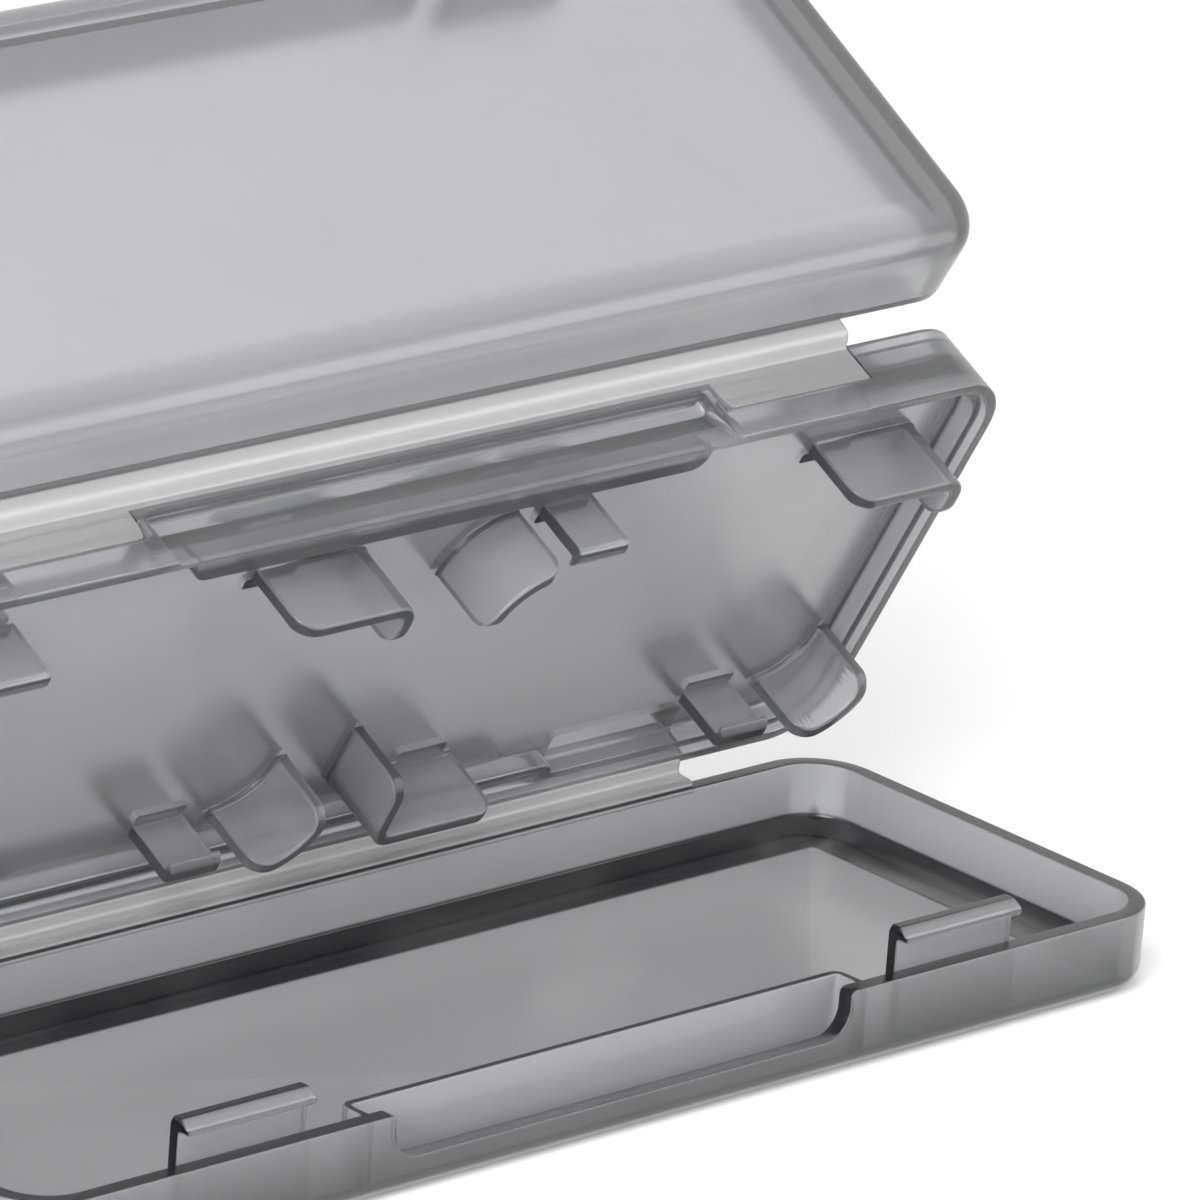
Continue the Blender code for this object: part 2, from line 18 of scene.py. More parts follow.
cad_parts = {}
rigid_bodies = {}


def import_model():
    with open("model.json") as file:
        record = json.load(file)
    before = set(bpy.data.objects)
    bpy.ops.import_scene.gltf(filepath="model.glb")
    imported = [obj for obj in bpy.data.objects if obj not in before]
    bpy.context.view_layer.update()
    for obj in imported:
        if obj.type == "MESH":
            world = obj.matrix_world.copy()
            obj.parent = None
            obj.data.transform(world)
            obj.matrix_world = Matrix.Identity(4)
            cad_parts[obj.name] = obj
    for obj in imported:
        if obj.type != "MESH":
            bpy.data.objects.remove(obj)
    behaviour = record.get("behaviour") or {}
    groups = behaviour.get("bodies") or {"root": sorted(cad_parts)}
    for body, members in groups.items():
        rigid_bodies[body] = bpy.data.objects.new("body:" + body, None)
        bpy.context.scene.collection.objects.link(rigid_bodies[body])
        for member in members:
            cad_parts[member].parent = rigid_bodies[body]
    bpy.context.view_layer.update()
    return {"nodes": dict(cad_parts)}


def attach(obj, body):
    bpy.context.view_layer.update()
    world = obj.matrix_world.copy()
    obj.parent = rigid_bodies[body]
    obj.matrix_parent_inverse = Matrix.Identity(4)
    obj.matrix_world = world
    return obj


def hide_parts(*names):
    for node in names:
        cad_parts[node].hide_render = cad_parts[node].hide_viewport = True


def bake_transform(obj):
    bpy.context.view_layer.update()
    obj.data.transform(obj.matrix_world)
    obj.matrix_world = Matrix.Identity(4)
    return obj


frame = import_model()
mm = 0.001
print("nodes in the frame:", len(frame["nodes"]))

# %% [markdown]
# The sizes are the solid model's own, in metres. Two turns place everything: each piece is drawn where
# it lies in the closed case, and a turn about the rear hinge line, then one about the front hinge line,
# carries it to the open pose. Half a turn about a line through the leaf's middle swaps the two covers,
# because both are the same moulding.

# %% sizes and placing
CASE_LENGTH, CASE_DEPTH, COVER_HEIGHT, LEAF_HEIGHT = 91.6 * mm, 31.8 * mm, 5.4 * mm, 5.2 * mm
PLAN_RADIUS, EDGE_RADIUS, SHELL, FLOOR = 4.4 * mm, 1.6 * mm, 1.2 * mm, 0.75 * mm
RIM_GAP, HINGE_REACH = 0.4 * mm, 0.9 * mm
LEAF_OPENING, COVER_OPENING = math.radians(62.1), math.radians(92.3)
HL, HD = CASE_LENGTH / 2, CASE_DEPTH / 2
LEAF_LOW = COVER_HEIGHT + RIM_GAP
LEAF_MID = LEAF_LOW + LEAF_HEIGHT / 2
LEAF_HIGH = LEAF_LOW + LEAF_HEIGHT
PANEL = 1.3 * mm
REAR_PIVOT = Vector((0, HD + HINGE_REACH, COVER_HEIGHT + RIM_GAP / 2))
FRONT_PIVOT = Vector((0, -HD - HINGE_REACH, LEAF_HIGH + RIM_GAP / 2))


def turn_about(pivot, angle):
    """A turn by angle about the line through pivot along X: move the line to the origin, turn, move back."""
    return Matrix.Translation(pivot) @ Matrix.Rotation(angle, 4, "X") @ Matrix.Translation(-pivot)


AS_DRAWN = Matrix.Identity(4)
HALF_TURN = turn_about(Vector((0, 0, LEAF_MID)), math.pi)
TO_TRAY = Matrix.Identity(4)
TO_LEAF = turn_about(REAR_PIVOT, -LEAF_OPENING)
TO_COVER = TO_LEAF @ turn_about(FRONT_PIVOT, COVER_OPENING)
print("front hinge line at rest:", [round(v / mm, 2) for v in TO_LEAF @ FRONT_PIVOT])

# %% [markdown]
# The camera stands at the photograph's viewing angle, about 0.66 m away with a long lens. Its three axes
# come from an azimuth, an elevation and a small roll. The picture is a close crop away from the optical
# axis, so the camera is moved sideways instead of being turned, which keeps the perspective right.

# %% camera
UNITS_DEEP, UNITS_AWAY, IMAGE_WIDTH, SENSOR_WIDTH = 529, 11011, 1200, 36
UNIT = CASE_DEPTH / UNITS_DEEP
AZIMUTH, ELEVATION, ROLL = math.radians(-43.971), math.radians(19.42), math.radians(4.615)
DISTANCE, SIDE_STEP, RISE_STEP = UNITS_AWAY * UNIT, -70.49 * UNIT, -291.48 * UNIT
AIM = Vector((100 * UNIT, 0, 150 * UNIT))
toward = Vector((
    math.sin(AZIMUTH) * math.cos(ELEVATION),
    -math.cos(AZIMUTH) * math.cos(ELEVATION),
    math.sin(ELEVATION),
))
level = Vector((math.cos(AZIMUTH), math.sin(AZIMUTH), 0))
upward = toward.cross(level)
right = math.cos(ROLL) * level + math.sin(ROLL) * upward
up = math.cos(ROLL) * upward - math.sin(ROLL) * level
camera_data = bpy.data.cameras.new("camera")
camera_data.sensor_width = SENSOR_WIDTH
camera_data.lens = SENSOR_WIDTH * UNITS_AWAY / IMAGE_WIDTH
camera_data.clip_start, camera_data.clip_end = 0.01, 20
camera = bpy.data.objects.new("camera", camera_data)
placing = Matrix((right, up, toward)).transposed().to_4x4()
placing.translation = AIM + DISTANCE * toward - SIDE_STEP * right - RISE_STEP * up
camera.matrix_world = placing
bpy.context.scene.collection.objects.link(camera)
bpy.context.scene.camera = camera
print("lens", round(camera_data.lens, 1), "mm, camera at", [round(v, 3) for v in placing.translation])

# %% [markdown]
# Every surface here is a loft: a grid of points whose rows are closed or open sections and whose columns
# run along a path. One function turns such a grid into faces, another makes the object. Where two forms
# run into each other, as posts into the panel, the exact Boolean joins them, because a moulding is one
# piece of plastic with no seams.

# %% meshes from grids
SHARP_ANGLE = 38


def loft(grid, loop_rows=True, loop_columns=False, cap_first=False, cap_last=False):
    """Quads between neighbouring points of grid[i, j]. A loop joins the last row or column to the first,
    and a cap closes the first or last section with one flat face."""
    grid = np.asarray(grid, float)
    n, m = grid.shape[:2]
    index = np.arange(n * m).reshape(n, m)
    i_next = np.roll(index, -1, axis=0) if loop_columns else index[1:]
    i_here = index if loop_columns else index[:-1]
    if loop_rows:
        a, b = i_here, np.roll(i_here, -1, axis=1)
        c, d = np.roll(i_next, -1, axis=1), i_next
    else:
        a, b, c, d = i_here[:, :-1], i_here[:, 1:], i_next[:, 1:], i_next[:, :-1]
    faces = np.stack([a, b, c, d], -1).reshape(-1, 4).tolist()
    if cap_first:
        faces.append(index[0][::-1].tolist())
    if cap_last:
        faces.append(index[-1].tolist())
    return grid.reshape(-1, 3), faces


def moved(shape, matrix):
    """The points of a shape times a 4x4 matrix."""
    points, faces = shape
    m = np.array(matrix, float)
    return points @ m[:3, :3].T + m[:3, 3], faces


def make_object(name, shape, matrix=AS_DRAWN):
    """A mesh object at the origin, its points moved by matrix. Its faces point outwards where the sum of
    a . (b x c) over all triangles, six times the volume, is above zero, and else they are flipped."""
    points, faces = moved(shape, matrix)
    mesh = bpy.data.meshes.new(name)
    mesh.from_pydata(points.tolist(), [], faces)
    mesh.update()
    mesh.calc_loop_triangles()
    corners = np.empty(len(mesh.loop_triangles) * 3, np.int32)
    mesh.loop_triangles.foreach_get("vertices", corners)
    a, b, c = points[corners.reshape(-1, 3)].transpose(1, 0, 2)
    if np.einsum("ij,ij->i", a, np.cross(b, c)).sum() < 0:
        mesh.flip_normals()
    obj = bpy.data.objects.new(name, mesh)
    bpy.context.scene.collection.objects.link(obj)
    return obj


def boolean(obj, shapes, operation):
    """Adds the shapes to an object or cuts them from it, all at once, with the exact solver."""
    helpers = bpy.data.collections.new(obj.name + "_" + operation.lower())
    for k, shape in enumerate(shapes):
        tool = make_object(f"{obj.name}_tool_{k}", shape)
        bpy.context.scene.collection.objects.unlink(tool)
        helpers.objects.link(tool)
    modifier = obj.modifiers.new(operation.lower(), "BOOLEAN")
    modifier.operation = operation
    modifier.operand_type = "COLLECTION"
    modifier.collection = helpers
    modifier.solver = "EXACT"
    graph = bpy.context.evaluated_depsgraph_get()
    result = bpy.data.meshes.new_from_object(obj.evaluated_get(graph))
    obj.modifiers.clear()
    old = obj.data
    obj.data = result
    bpy.data.meshes.remove(old)
    for tool in list(helpers.objects):
        bpy.data.meshes.remove(tool.data)
    bpy.data.collections.remove(helpers)
    return obj


def shade_by_angle(obj):
    """Smooth shading with a crease wherever two faces meet at more than the sharp angle."""
    obj.data.shade_smooth()
    obj.data.set_sharp_from_angle(angle=math.radians(SHARP_ANGLE))


def finish_surface(obj):
    """Shades by angle and keeps the normals of wide flat faces flat."""
    shade_by_angle(obj)
    weighted = obj.modifiers.new("flat_faces", "WEIGHTED_NORMAL")
    weighted.keep_sharp = True
    weighted.weight = 60


print("creases above", SHARP_ANGLE, "degrees")

# %% [markdown]
# The mouldings follow a rounded rectangle. A station on it has a base point on the inner rectangle of
# corner centres and an outward normal; a point at inset d lies at base + normal * (radius - d), so one
# set of stations serves every inset. The front side takes extra stations for the thumb notch.

# %% stations round the outline


def corner_stations(count=12):
    """The four corners' stations, counted round from the front right, as lists of (base, normal)."""
    corners = []
    for k, (sx, sy) in enumerate(((1, -1), (1, 1), (-1, 1), (-1, -1))):
        start = -math.pi / 2 + k * math.pi / 2
        base = (sx * (HL - PLAN_RADIUS), sy * (HD - PLAN_RADIUS))
        corners.append([
            (base, (math.cos(start + a), math.sin(start + a)))
            for a in np.linspace(0, math.pi / 2, count + 1)
        ])
    return corners


def outline(front_xs, side_count=8, count=12):
    """Base points and normals right round: the front side's stations at front_xs, then corner, end,
    corner, back, corner, end, corner."""
    corners = corner_stations(count)
    back_y = HD - PLAN_RADIUS
    stations = [((x, -back_y), (0.0, -1.0)) for x in front_xs]
    stations += corners[0]
    end_ys = np.linspace(-back_y, back_y, side_count)[1:-1]
    stations += [((HL - PLAN_RADIUS, y), (1.0, 0.0)) for y in end_ys]
    stations += corners[1]
    back_xs = np.linspace(HL - PLAN_RADIUS, -HL + PLAN_RADIUS, 20)[1:-1]
    stations += [((x, back_y), (0.0, 1.0)) for x in back_xs]
    stations += corners[2]
    stations += [((-HL + PLAN_RADIUS, y), (-1.0, 0.0)) for y in end_ys[::-1]]
    stations += corners[3]
    base = np.array([s[0] for s in stations], float)
    normal = np.array([s[1] for s in stations], float)
    return base, normal


def arc(count, start=0.0, stop=90.0):
    """Angles in radians from start to stop, in degrees."""
    return np.radians(np.linspace(start, stop, count + 1))


# %% [markdown]
# The thumb notch is a curve in the front wall's own plane: along the rim, round a small convex corner,
# down the side, round a wide concave corner and along the bottom. Each of its points carries the normal
# that points out of the plastic, so the rim's rounding turns with the curve instead of staying upright.

# %% notch curve
NOTCH_HALF, NOTCH_DEPTH, NOTCH_RADIUS, NOTCH_LIP = 18.2 * mm, 2.9 * mm, 1.8 * mm, 0.45 * mm
SPREAD_INSIDE, SPREAD_OUTSIDE = 3 * mm, 1.5 * mm


def notch_curve():
    """Points (x, z) and normals of the rim over the front side, from left to right, and the x of each
    station where the wall meets the rounded lower edge, which has to keep growing."""
    top, bottom = COVER_HEIGHT, COVER_HEIGHT - NOTCH_DEPTH
    points, normals = [], []
    for x in np.linspace(-HL + PLAN_RADIUS, -NOTCH_HALF - NOTCH_LIP - 0.4 * mm, 9)[1:]:
        points.append((x, top))
        normals.append((0, 1))
    for a in arc(6, 90, 0):
        lip_x = -NOTCH_HALF - NOTCH_LIP + NOTCH_LIP * math.cos(a)
        points.append((lip_x, top - NOTCH_LIP + NOTCH_LIP * math.sin(a)))
        normals.append((math.cos(a), math.sin(a)))
    for a in arc(12, 180, 270):
        points.append((
            -NOTCH_HALF + NOTCH_RADIUS + NOTCH_RADIUS * math.cos(a),
            bottom + NOTCH_RADIUS + NOTCH_RADIUS * math.sin(a),
        ))
        normals.append((-math.cos(a), -math.sin(a)))
    for x in np.linspace(-NOTCH_HALF + NOTCH_RADIUS, 0, 6)[1:]:
        points.append((x, bottom))
        normals.append((0, 1))
    points, normals = np.array(points), np.array(normals, float)
    flip = np.array([-1.0, 1.0])
    points = np.concatenate([points, (points * flip)[-2::-1]])
    normals = np.concatenate([normals, (normals * flip)[-2::-1]])
    foot = points[:, 0].copy()
    steep = (np.abs(foot) > NOTCH_HALF - SPREAD_INSIDE) & (np.abs(foot) < NOTCH_HALF + SPREAD_OUTSIDE)
    for side in (-1, 1):
        here = np.flatnonzero(steep & (foot * side > 0))
        foot[here] = np.linspace(foot[here[0]], foot[here[-1]], len(here))
    return points, normals, foot


rim_points, rim_normals, rim_foot = notch_curve()
print("notch curve:", len(rim_points), "points")

# %% [markdown]
# A cover is one loft. Its section runs from the middle of the underside out to the rounded edge, up the
# wall, over the rim and down to the floor inside. At the back and the ends a wide hollow fillet joins
# wall and floor, which is what shows as a dark band through the plastic; at the front, where the snap
# hooks and the pocket stand, it is small.

# %% cover shell
RIM_ROUND = 0.16 * mm
SLOPE_WIDE, SLOPE_HIGH, CREASE = (0.45, 2.2), (0.35, 0.85), (0.12, 0.1)


def from_front(values, back):
    """A size in mm at the front and what it gains at the back and the ends, as metres."""
    return (values[0] + values[1] * back) * mm


def cover_shell():
    """The section's rows, each an inset from the outline and a height. Above the lower edge a point is
    the rim's curve moved into the plastic along its own normal."""
    base, normal = outline(rim_foot)
    count, front = len(base), len(rim_points)
    rim_x, rim_z = base[:, 0].copy(), np.full(count, COVER_HEIGHT)
    out_x, out_z = np.zeros(count), np.ones(count)
    rim_x[:front], rim_z[:front] = rim_points[:, 0], rim_points[:, 1]
    out_x[:front], out_z[:front] = rim_normals[:, 0], rim_normals[:, 1]
    back = np.clip((normal[:, 1] + 1) / 0.75, 0, 1)
    back = back * back * (3 - 2 * back)
    slope_wide, slope_high, crease = (from_front(size, back) for size in (SLOPE_WIDE, SLOPE_HIGH, CREASE))

    def row(inset, z, x=None):
        reach = PLAN_RADIUS - inset
        across = base[:, 0] if x is None else x
        y = base[:, 1] + normal[:, 1] * reach
        return np.stack([across + normal[:, 0] * reach, y, z + 0 * across], -1)

    def rim_row(inset, depth):
        x = np.where(np.arange(count) < front, rim_x - depth * out_x, base[:, 0])
        return row(inset, rim_z - depth * out_z, x)

    def between(low, high, share):
        return low * (1 - share) + high * share

    rows = [row(EDGE_RADIUS + 0.3 * mm, 0.0)]
    rows += [row(EDGE_RADIUS * (1 - math.sin(a)), EDGE_RADIUS * (1 - math.cos(a))) for a in arc(10)]
    outer_low = rows[-1]
    outer_high = rim_row(0.0, RIM_ROUND)
    rows += [between(outer_low, outer_high, s) for s in (0.25, 0.5, 0.75)]
    rows += [rim_row(RIM_ROUND * (1 - math.cos(a)), RIM_ROUND * (1 - math.sin(a))) for a in arc(4)]
    rows += [rim_row(SHELL - RIM_ROUND * (1 - math.sin(a)), RIM_ROUND * (1 - math.cos(a))) for a in arc(4)]
    inner_high = rows[-1]
    inner_low = row(SHELL, FLOOR + slope_high + crease)
    rows += [between(inner_high, inner_low, s) for s in (0.33, 0.66)]
    rows.append(inner_low)
    for s in (0.04, 0.35, 0.65, 0.96):
        rows.append(row(SHELL + slope_wide * s, FLOOR + slope_high * (1 - s)))
    rows.append(row(SHELL + slope_wide + crease * 1.5, FLOOR))
    rows.append(row(SHELL + slope_wide + crease * 1.5 + 0.15 * mm, FLOOR))
    return loft(np.stack(rows), cap_first=True, cap_last=True)


# %% [markdown]
# Thin upright walls, such as the pocket behind the notch and the card posts, are plates swept along a
# plan path. Across the path the section is a rectangle with a rounded top and a flared foot. Towards
# each free end the height falls on a quarter circle and the thickness closes on a smaller one.

# %% swept plates
SECTION_STEP, ARC_STEP, SOFT_EDGE = 0.6 * mm, 0.25 * mm, 0.18 * mm


def corner_arc(before, here, after, radius, steps):
    """The arc that rounds a corner, as (point, unit tangent) pairs. It starts radius * tan(turn / 2) before
    the corner, and steps is their number or a function that finds it from the turn."""
    into, out = here - before, after - here
    into, out = into / np.linalg.norm(into), out / np.linalg.norm(out)
    turn = math.atan2(into[0] * out[1] - into[1] * out[0], float(into @ out))
    start = here - into * radius * math.tan(abs(turn) / 2)
    centre = start + np.array([-into[1], into[0]]) * radius * math.copysign(1, turn)
    pairs = []
    for a in np.linspace(0, turn, (steps(abs(turn)) if callable(steps) else steps) + 1):
        spin = np.array([[math.cos(a), -math.sin(a)], [math.sin(a), math.cos(a)]])
        pairs.append((centre + spin @ (start - centre), spin @ into))
    return pairs


def run_lengths(points):
    """The length of a line from its first point to each of its points."""
    return np.concatenate([[0], np.cumsum(np.linalg.norm(np.diff(points, axis=0), axis=1))])


def plan_path(points, radius):
    """Stations along straight runs whose corners are arcs: arrays of points, unit tangents and lengths."""
    ends = [np.array(p, float) for p in points]
    first, last = (ends[k + 1] - ends[k] for k in (0, -2))
    stations = [(ends[0], first / np.linalg.norm(first))]
    for before, here, after in zip(ends, ends[1:], ends[2:]):
        stations += corner_arc(before, here, after, radius, lambda a: max(4, int(a * radius / ARC_STEP)))
    stations.append((ends[-1], last / np.linalg.norm(last)))
    kept = stations[:1]
    for station in stations[1:]:
        if np.linalg.norm(station[0] - kept[-1][0]) > 1e-6:
            kept.append(station)
    points = np.array([s[0] for s in kept])
    tangents = np.array([s[1] for s in kept])
    return points, tangents, run_lengths(points)


def swept_plate(path, thickness, foot, top, tip=0.0, edge=SOFT_EDGE, flare=0.0):
    """A plate from height foot to top along the path. tip is the free corners' radius, edge the rounding
    of the rim and flare the foot's fillet. Near a free end, at distance s from it, the height falls by
    r - sqrt(r^2 - (r - s)^2), and the half thickness likewise with the rim's rounding."""
    points, tangents, lengths = path
    total = lengths[-1]
    marks = [0, total, *lengths]
    for radius in (edge, tip):
        if radius:
            falls = radius * (1 - np.cos(arc(5)))
            marks += [*falls, *(total - falls)]
    marks += list(np.linspace(0, total, max(2, int(total / SECTION_STEP))))
    marks = np.unique(np.round(np.clip(marks, 0, total), 7))
    marks = marks[np.concatenate([[True], np.diff(marks) > 2e-6])]
    sections = []
    for s in marks:
        middle = np.array([np.interp(s, lengths, points[:, k]) for k in (0, 1)])
        along = np.array([np.interp(s, lengths, tangents[:, k]) for k in (0, 1)])
        along /= np.linalg.norm(along)
        across = np.array([-along[1], along[0]])
        from_end = min(s, total - s)
        drop = 0.0
        if tip and from_end < tip:
            drop = tip - math.sqrt(max(tip**2 - (tip - from_end) ** 2, 0))
        half = thickness / 2
        if edge and from_end < edge:
            half -= edge - math.sqrt(max(edge**2 - (edge - from_end) ** 2, 0))
        rise = 1 if top > foot else -1
        high = top - drop * rise
        ledge = min(edge, half * 0.98)
        side = [
            (half + flare * (1 - math.cos(a)), foot + rise * flare * (1 - math.sin(a))) for a in arc(4, 90, 0)
        ]
        side += [(half - ledge * (1 - math.cos(a)), high - rise * ledge * (1 - math.sin(a))) for a in arc(4)]
        section = [(offset, z) for offset, z in side] + [(-offset, z) for offset, z in side[::-1]]
        sections.append([[*(middle + across * offset), z] for offset, z in section])
    return loft(np.array(sections), cap_first=True, cap_last=True)


def block(low, high):
    """Eight corners and six faces."""
    (x0, y0, z0), (x1, y1, z1) = low, high
    points = np.array([(x, y, z) for x in (x0, x1) for y in (y0, y1) for z in (z0, z1)], float)
    return points, [[0, 1, 3, 2], [4, 6, 7, 5], [0, 4, 5, 1], [2, 3, 7, 6], [0, 2, 6, 4], [1, 5, 7, 3]]


def slab(polygon, low, high, edge, axis):
    """A flat outline given thickness along an axis, its two rims rounded by stepping in along the
    outline's normals. The outline's two values go to the other axes in the order X, Y, Z."""
    ring = np.array(polygon, float)
    ring = ring[np.linalg.norm(ring - np.roll(ring, 1, 0), axis=1) > 1e-7]
    run = np.roll(ring, -1, 0) - ring
    run /= np.linalg.norm(run, axis=1)[:, None]
    side = np.stack([-run[:, 1], run[:, 0]], -1)
    area = 0.5 * np.sum(ring[:, 0] * np.roll(ring, -1, 0)[:, 1] - np.roll(ring, -1, 0)[:, 0] * ring[:, 1])
    side *= math.copysign(1, area)
    before = np.roll(side, 1, 0)
    inward = (side + before) / (1 + np.sum(side * before, axis=1))[:, None]
    if edge:
        rows = [(low + edge * (1 - math.cos(a)), edge * (1 - math.sin(a))) for a in arc(4)]
        rows += [(high - edge * (1 - math.sin(a)), edge * (1 - math.cos(a))) for a in arc(4)]
    else:
        rows = [(low, 0.0), (high, 0.0)]
    order = {"X": (2, 0, 1), "Y": (0, 2, 1), "Z": (0, 1, 2)}[axis]
    grid = []
    for across, inset in rows:
        level_ring = ring + inward * inset
        grid.append(np.column_stack([level_ring, np.full(len(ring), across)])[:, order])
    return loft(np.stack(grid), cap_first=True, cap_last=True)


def rounded_polygon(corners, radii, steps=6):
    """The corners of a polygon replaced by arcs of the given radii."""
    points = []
    corners = [np.array(corner, float) for corner in corners]
    for before, here, after, radius in zip(corners[-1:] + corners, corners, corners[1:] + corners, radii):
        if radius:
            points += [point for point, along in corner_arc(before, here, after, radius, steps)]
        else:
            points.append(here)
    return np.array(points)


# %% [markdown]
# Both covers come from one mould: the shell, with a thin pocket wall joined to it behind the notch. The
# top cover is the same shape after half a turn.

# %% the two covers
POCKET_HALF, POCKET_MOUTH, POCKET_WALL, POCKET_CORNER = 19.5 * mm, 1.5 * mm, 0.6 * mm, 0.55 * mm
POCKET_BITE, FLOOR_BITE = 0.35 * mm, 0.3 * mm


def make_cover(name, turn, place, body, node):
    """One cover at rest, riding on its body in place of its solid."""
    cover = make_object(name, cover_shell(), place @ turn)
    start = -HD + SHELL - POCKET_BITE
    behind = -HD + SHELL + POCKET_MOUTH + POCKET_WALL / 2
    reach = POCKET_HALF + POCKET_WALL / 2
    path = plan_path([(-reach, start), (-reach, behind), (reach, behind), (reach, start)], POCKET_CORNER)
    pocket = swept_plate(path, POCKET_WALL, FLOOR - FLOOR_BITE, COVER_HEIGHT, edge=0.12 * mm)
    boolean(cover, [moved(pocket, place @ turn)], "UNION")
    finish_surface(cover)
    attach(cover, body)
    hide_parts(node)
    return cover


tray = make_cover("tray_moulding", AS_DRAWN, TO_TRAY, "tray", "bottom_cover")
lid = make_cover("cover_moulding", HALF_TURN, TO_COVER, "cover", "top_cover")
print("cover faces:", len(tray.data.polygons))

# %% [markdown]
# The leaf's frame and panel are one loft as well. Half of its section runs from the panel out through
# the concave fillet, over the step and the rim and half way up the outer wall; its mirror image about
# the leaf's middle height gives the other half, which makes the H.

# %% leaf frame
RIM, STEP_WIDTH, STEP_DEPTH, PANEL_FILLET = 0.8 * mm, 0.6 * mm, 0.6 * mm, 0.5 * mm
LEAF_RIM_ROUND, STEP_ROUND = 0.15 * mm, 0.1 * mm
PANEL_LOW, PANEL_HIGH = LEAF_MID - PANEL / 2, LEAF_MID + PANEL / 2
WELL = RIM + STEP_WIDTH


def leaf_frame():
    """Insets and heights of the lower half section, then the same with the heights mirrored."""
    rim_round, step_round = LEAF_RIM_ROUND, STEP_ROUND
    half = [(WELL + PANEL_FILLET + 0.2 * mm, PANEL_LOW)]
    half += [
        (WELL + PANEL_FILLET * (1 - math.sin(a)), PANEL_LOW - PANEL_FILLET * (1 - math.cos(a)))
        for a in arc(6)
    ]
    ledge = LEAF_LOW + STEP_DEPTH
    half += [
        (WELL - step_round * (1 - math.cos(a)), ledge + step_round * (1 - math.sin(a))) for a in arc(4)
    ]
    half.append((RIM, ledge))
    half += [(RIM - rim_round * (1 - math.cos(a)), LEAF_LOW + rim_round * (1 - math.sin(a))) for a in arc(4)]
    half += [(rim_round * (1 - math.sin(a)), LEAF_LOW + rim_round * (1 - math.cos(a))) for a in arc(4)]
    half.append((0.0, LEAF_LOW + LEAF_HEIGHT * 0.3))
    section = half + [(inset, 2 * LEAF_MID - z) for inset, z in half[::-1]]
    base, normal = outline(np.linspace(-HL + PLAN_RADIUS, HL - PLAN_RADIUS, 40)[1:-1])
    rows = []
    for inset, z in section:
        reach = PLAN_RADIUS - inset
        rows.append(np.column_stack([base + normal * reach, np.full(len(base), z)]))
    return loft(np.stack(rows), cap_first=True, cap_last=True)


print("frame points:", len(leaf_frame()[0]))

# %% [markdown]
# The thumb recess is a scoop in a thick block. The block is flush with the rim and has wide corners in
# plan, and a longer head above the panel covers the whole scoop. The scoop's side view is deep under its
# upper lip and runs out towards the rim, and it is pulled out along the case with rounded ends. All are
# drawn for the front and turned half round for the back.

# %% thumb recess
RECESS_HALF, RECESS_DEPTH, RECESS_HEIGHT, RECESS_END_WALL = 22.3 * mm, 1.1 * mm, 4.0 * mm, 0.6 * mm
BLOCK_HALF, BLOCK_DEPTH, BLOCK_CORNER, LIP_BACK = 20.4 * mm, 2.3 * mm, 1.2 * mm, 0.35 * mm


def rectangle(x0, x1, y0, y1, radii):
    """A rectangle's corners, counted from (x0, y0) round through (x1, y0), with their own radii."""
    return rounded_polygon([(x0, y0), (x1, y0), (x1, y1), (x0, y1)], radii)


def recess_plate(half, low):
    """Drawn in plan: the corners towards the panel are wide."""
    radii = (0, 0, BLOCK_CORNER, BLOCK_CORNER)
    plan = rectangle(-half, half, -HD + RIM / 2, -HD + BLOCK_DEPTH, radii)
    return slab(plan, low, LEAF_LOW + RECESS_HEIGHT + RECESS_END_WALL, SOFT_EDGE, "Z")


def recess_scoop():
    """The side view in (y, z): the lip stands back a little, and from its edge the scoop slopes in to its
    deepest line under the top."""
    top, lip = LEAF_LOW + RECESS_HEIGHT, -HD + LIP_BACK
    view = rounded_polygon(
        [
            (-HD - mm, LEAF_LOW - mm), (lip, LEAF_LOW - mm), (lip, LEAF_LOW + 0.35 * mm),
            (-HD + RECESS_DEPTH, top - 0.9 * mm), (-HD + RECESS_DEPTH - 0.2 * mm, top),
            (-HD - mm, top + 0.15 * mm),
        ],
        (0, 0, 0.1 * mm, 0.7 * mm, 0.55 * mm, 0),
    )
    return slab(view, -RECESS_HALF, RECESS_HALF, 0.5 * mm, "X")


recess_block = recess_plate(BLOCK_HALF, LEAF_LOW)
recess_head = recess_plate(RECESS_HALF + RECESS_END_WALL, PANEL_LOW + 0.3 * mm)
print("scoop points:", len(recess_scoop()[0]))

# %% [markdown]
# The card posts are the plates that take the most care on this leaf: thin walls that turn a corner in
# plan, with free corners rounded in height, a fillet at the root and a soft rim. They stand on both faces
# of the panel.

# %% card posts and windows
CARD_LENGTH_ROOM, CARD_FROM_END, CARD_FROM_BACK, CARD_FROM_FRONT = 36.3 * mm, 5.05 * mm, 4.6 * mm, 5.7 * mm
CARD_WIDTH_ROOM = CASE_DEPTH - CARD_FROM_BACK - CARD_FROM_FRONT
POST, POST_HEIGHT, POST_TIP = 0.9 * mm, 5.3 * mm, 1.5 * mm
FINGER_WIDTH, FINGER_WINDOW = 4.0 * mm, 0.8 * mm
UPPER_FINGER_X, LOWER_FINGER_X, LOWER_WINDOW_X = 7.6 * mm, 30.9 * mm, 6.7 * mm
BEND, CURVE, FLARED_CURVE, FLARED_X = 1.1 * mm, 4.05 * mm, 3.95 * mm, 35.0 * mm
BACK_LEG, BACK_SHORT, FRONT_LEG, FRONT_SHORT = 10.2 * mm, 5.4 * mm, 9.2 * mm, 3.7 * mm
CURVE_LEG, FLARED_LEG = 4.1 * mm, 4 * mm
HOOK_WIDTH, HOOK_FROM_FACE, HOOK_THICKNESS, HOOK_FROM_END = 9.8 * mm, 1.9 * mm, 0.9 * mm, 12.4 * mm
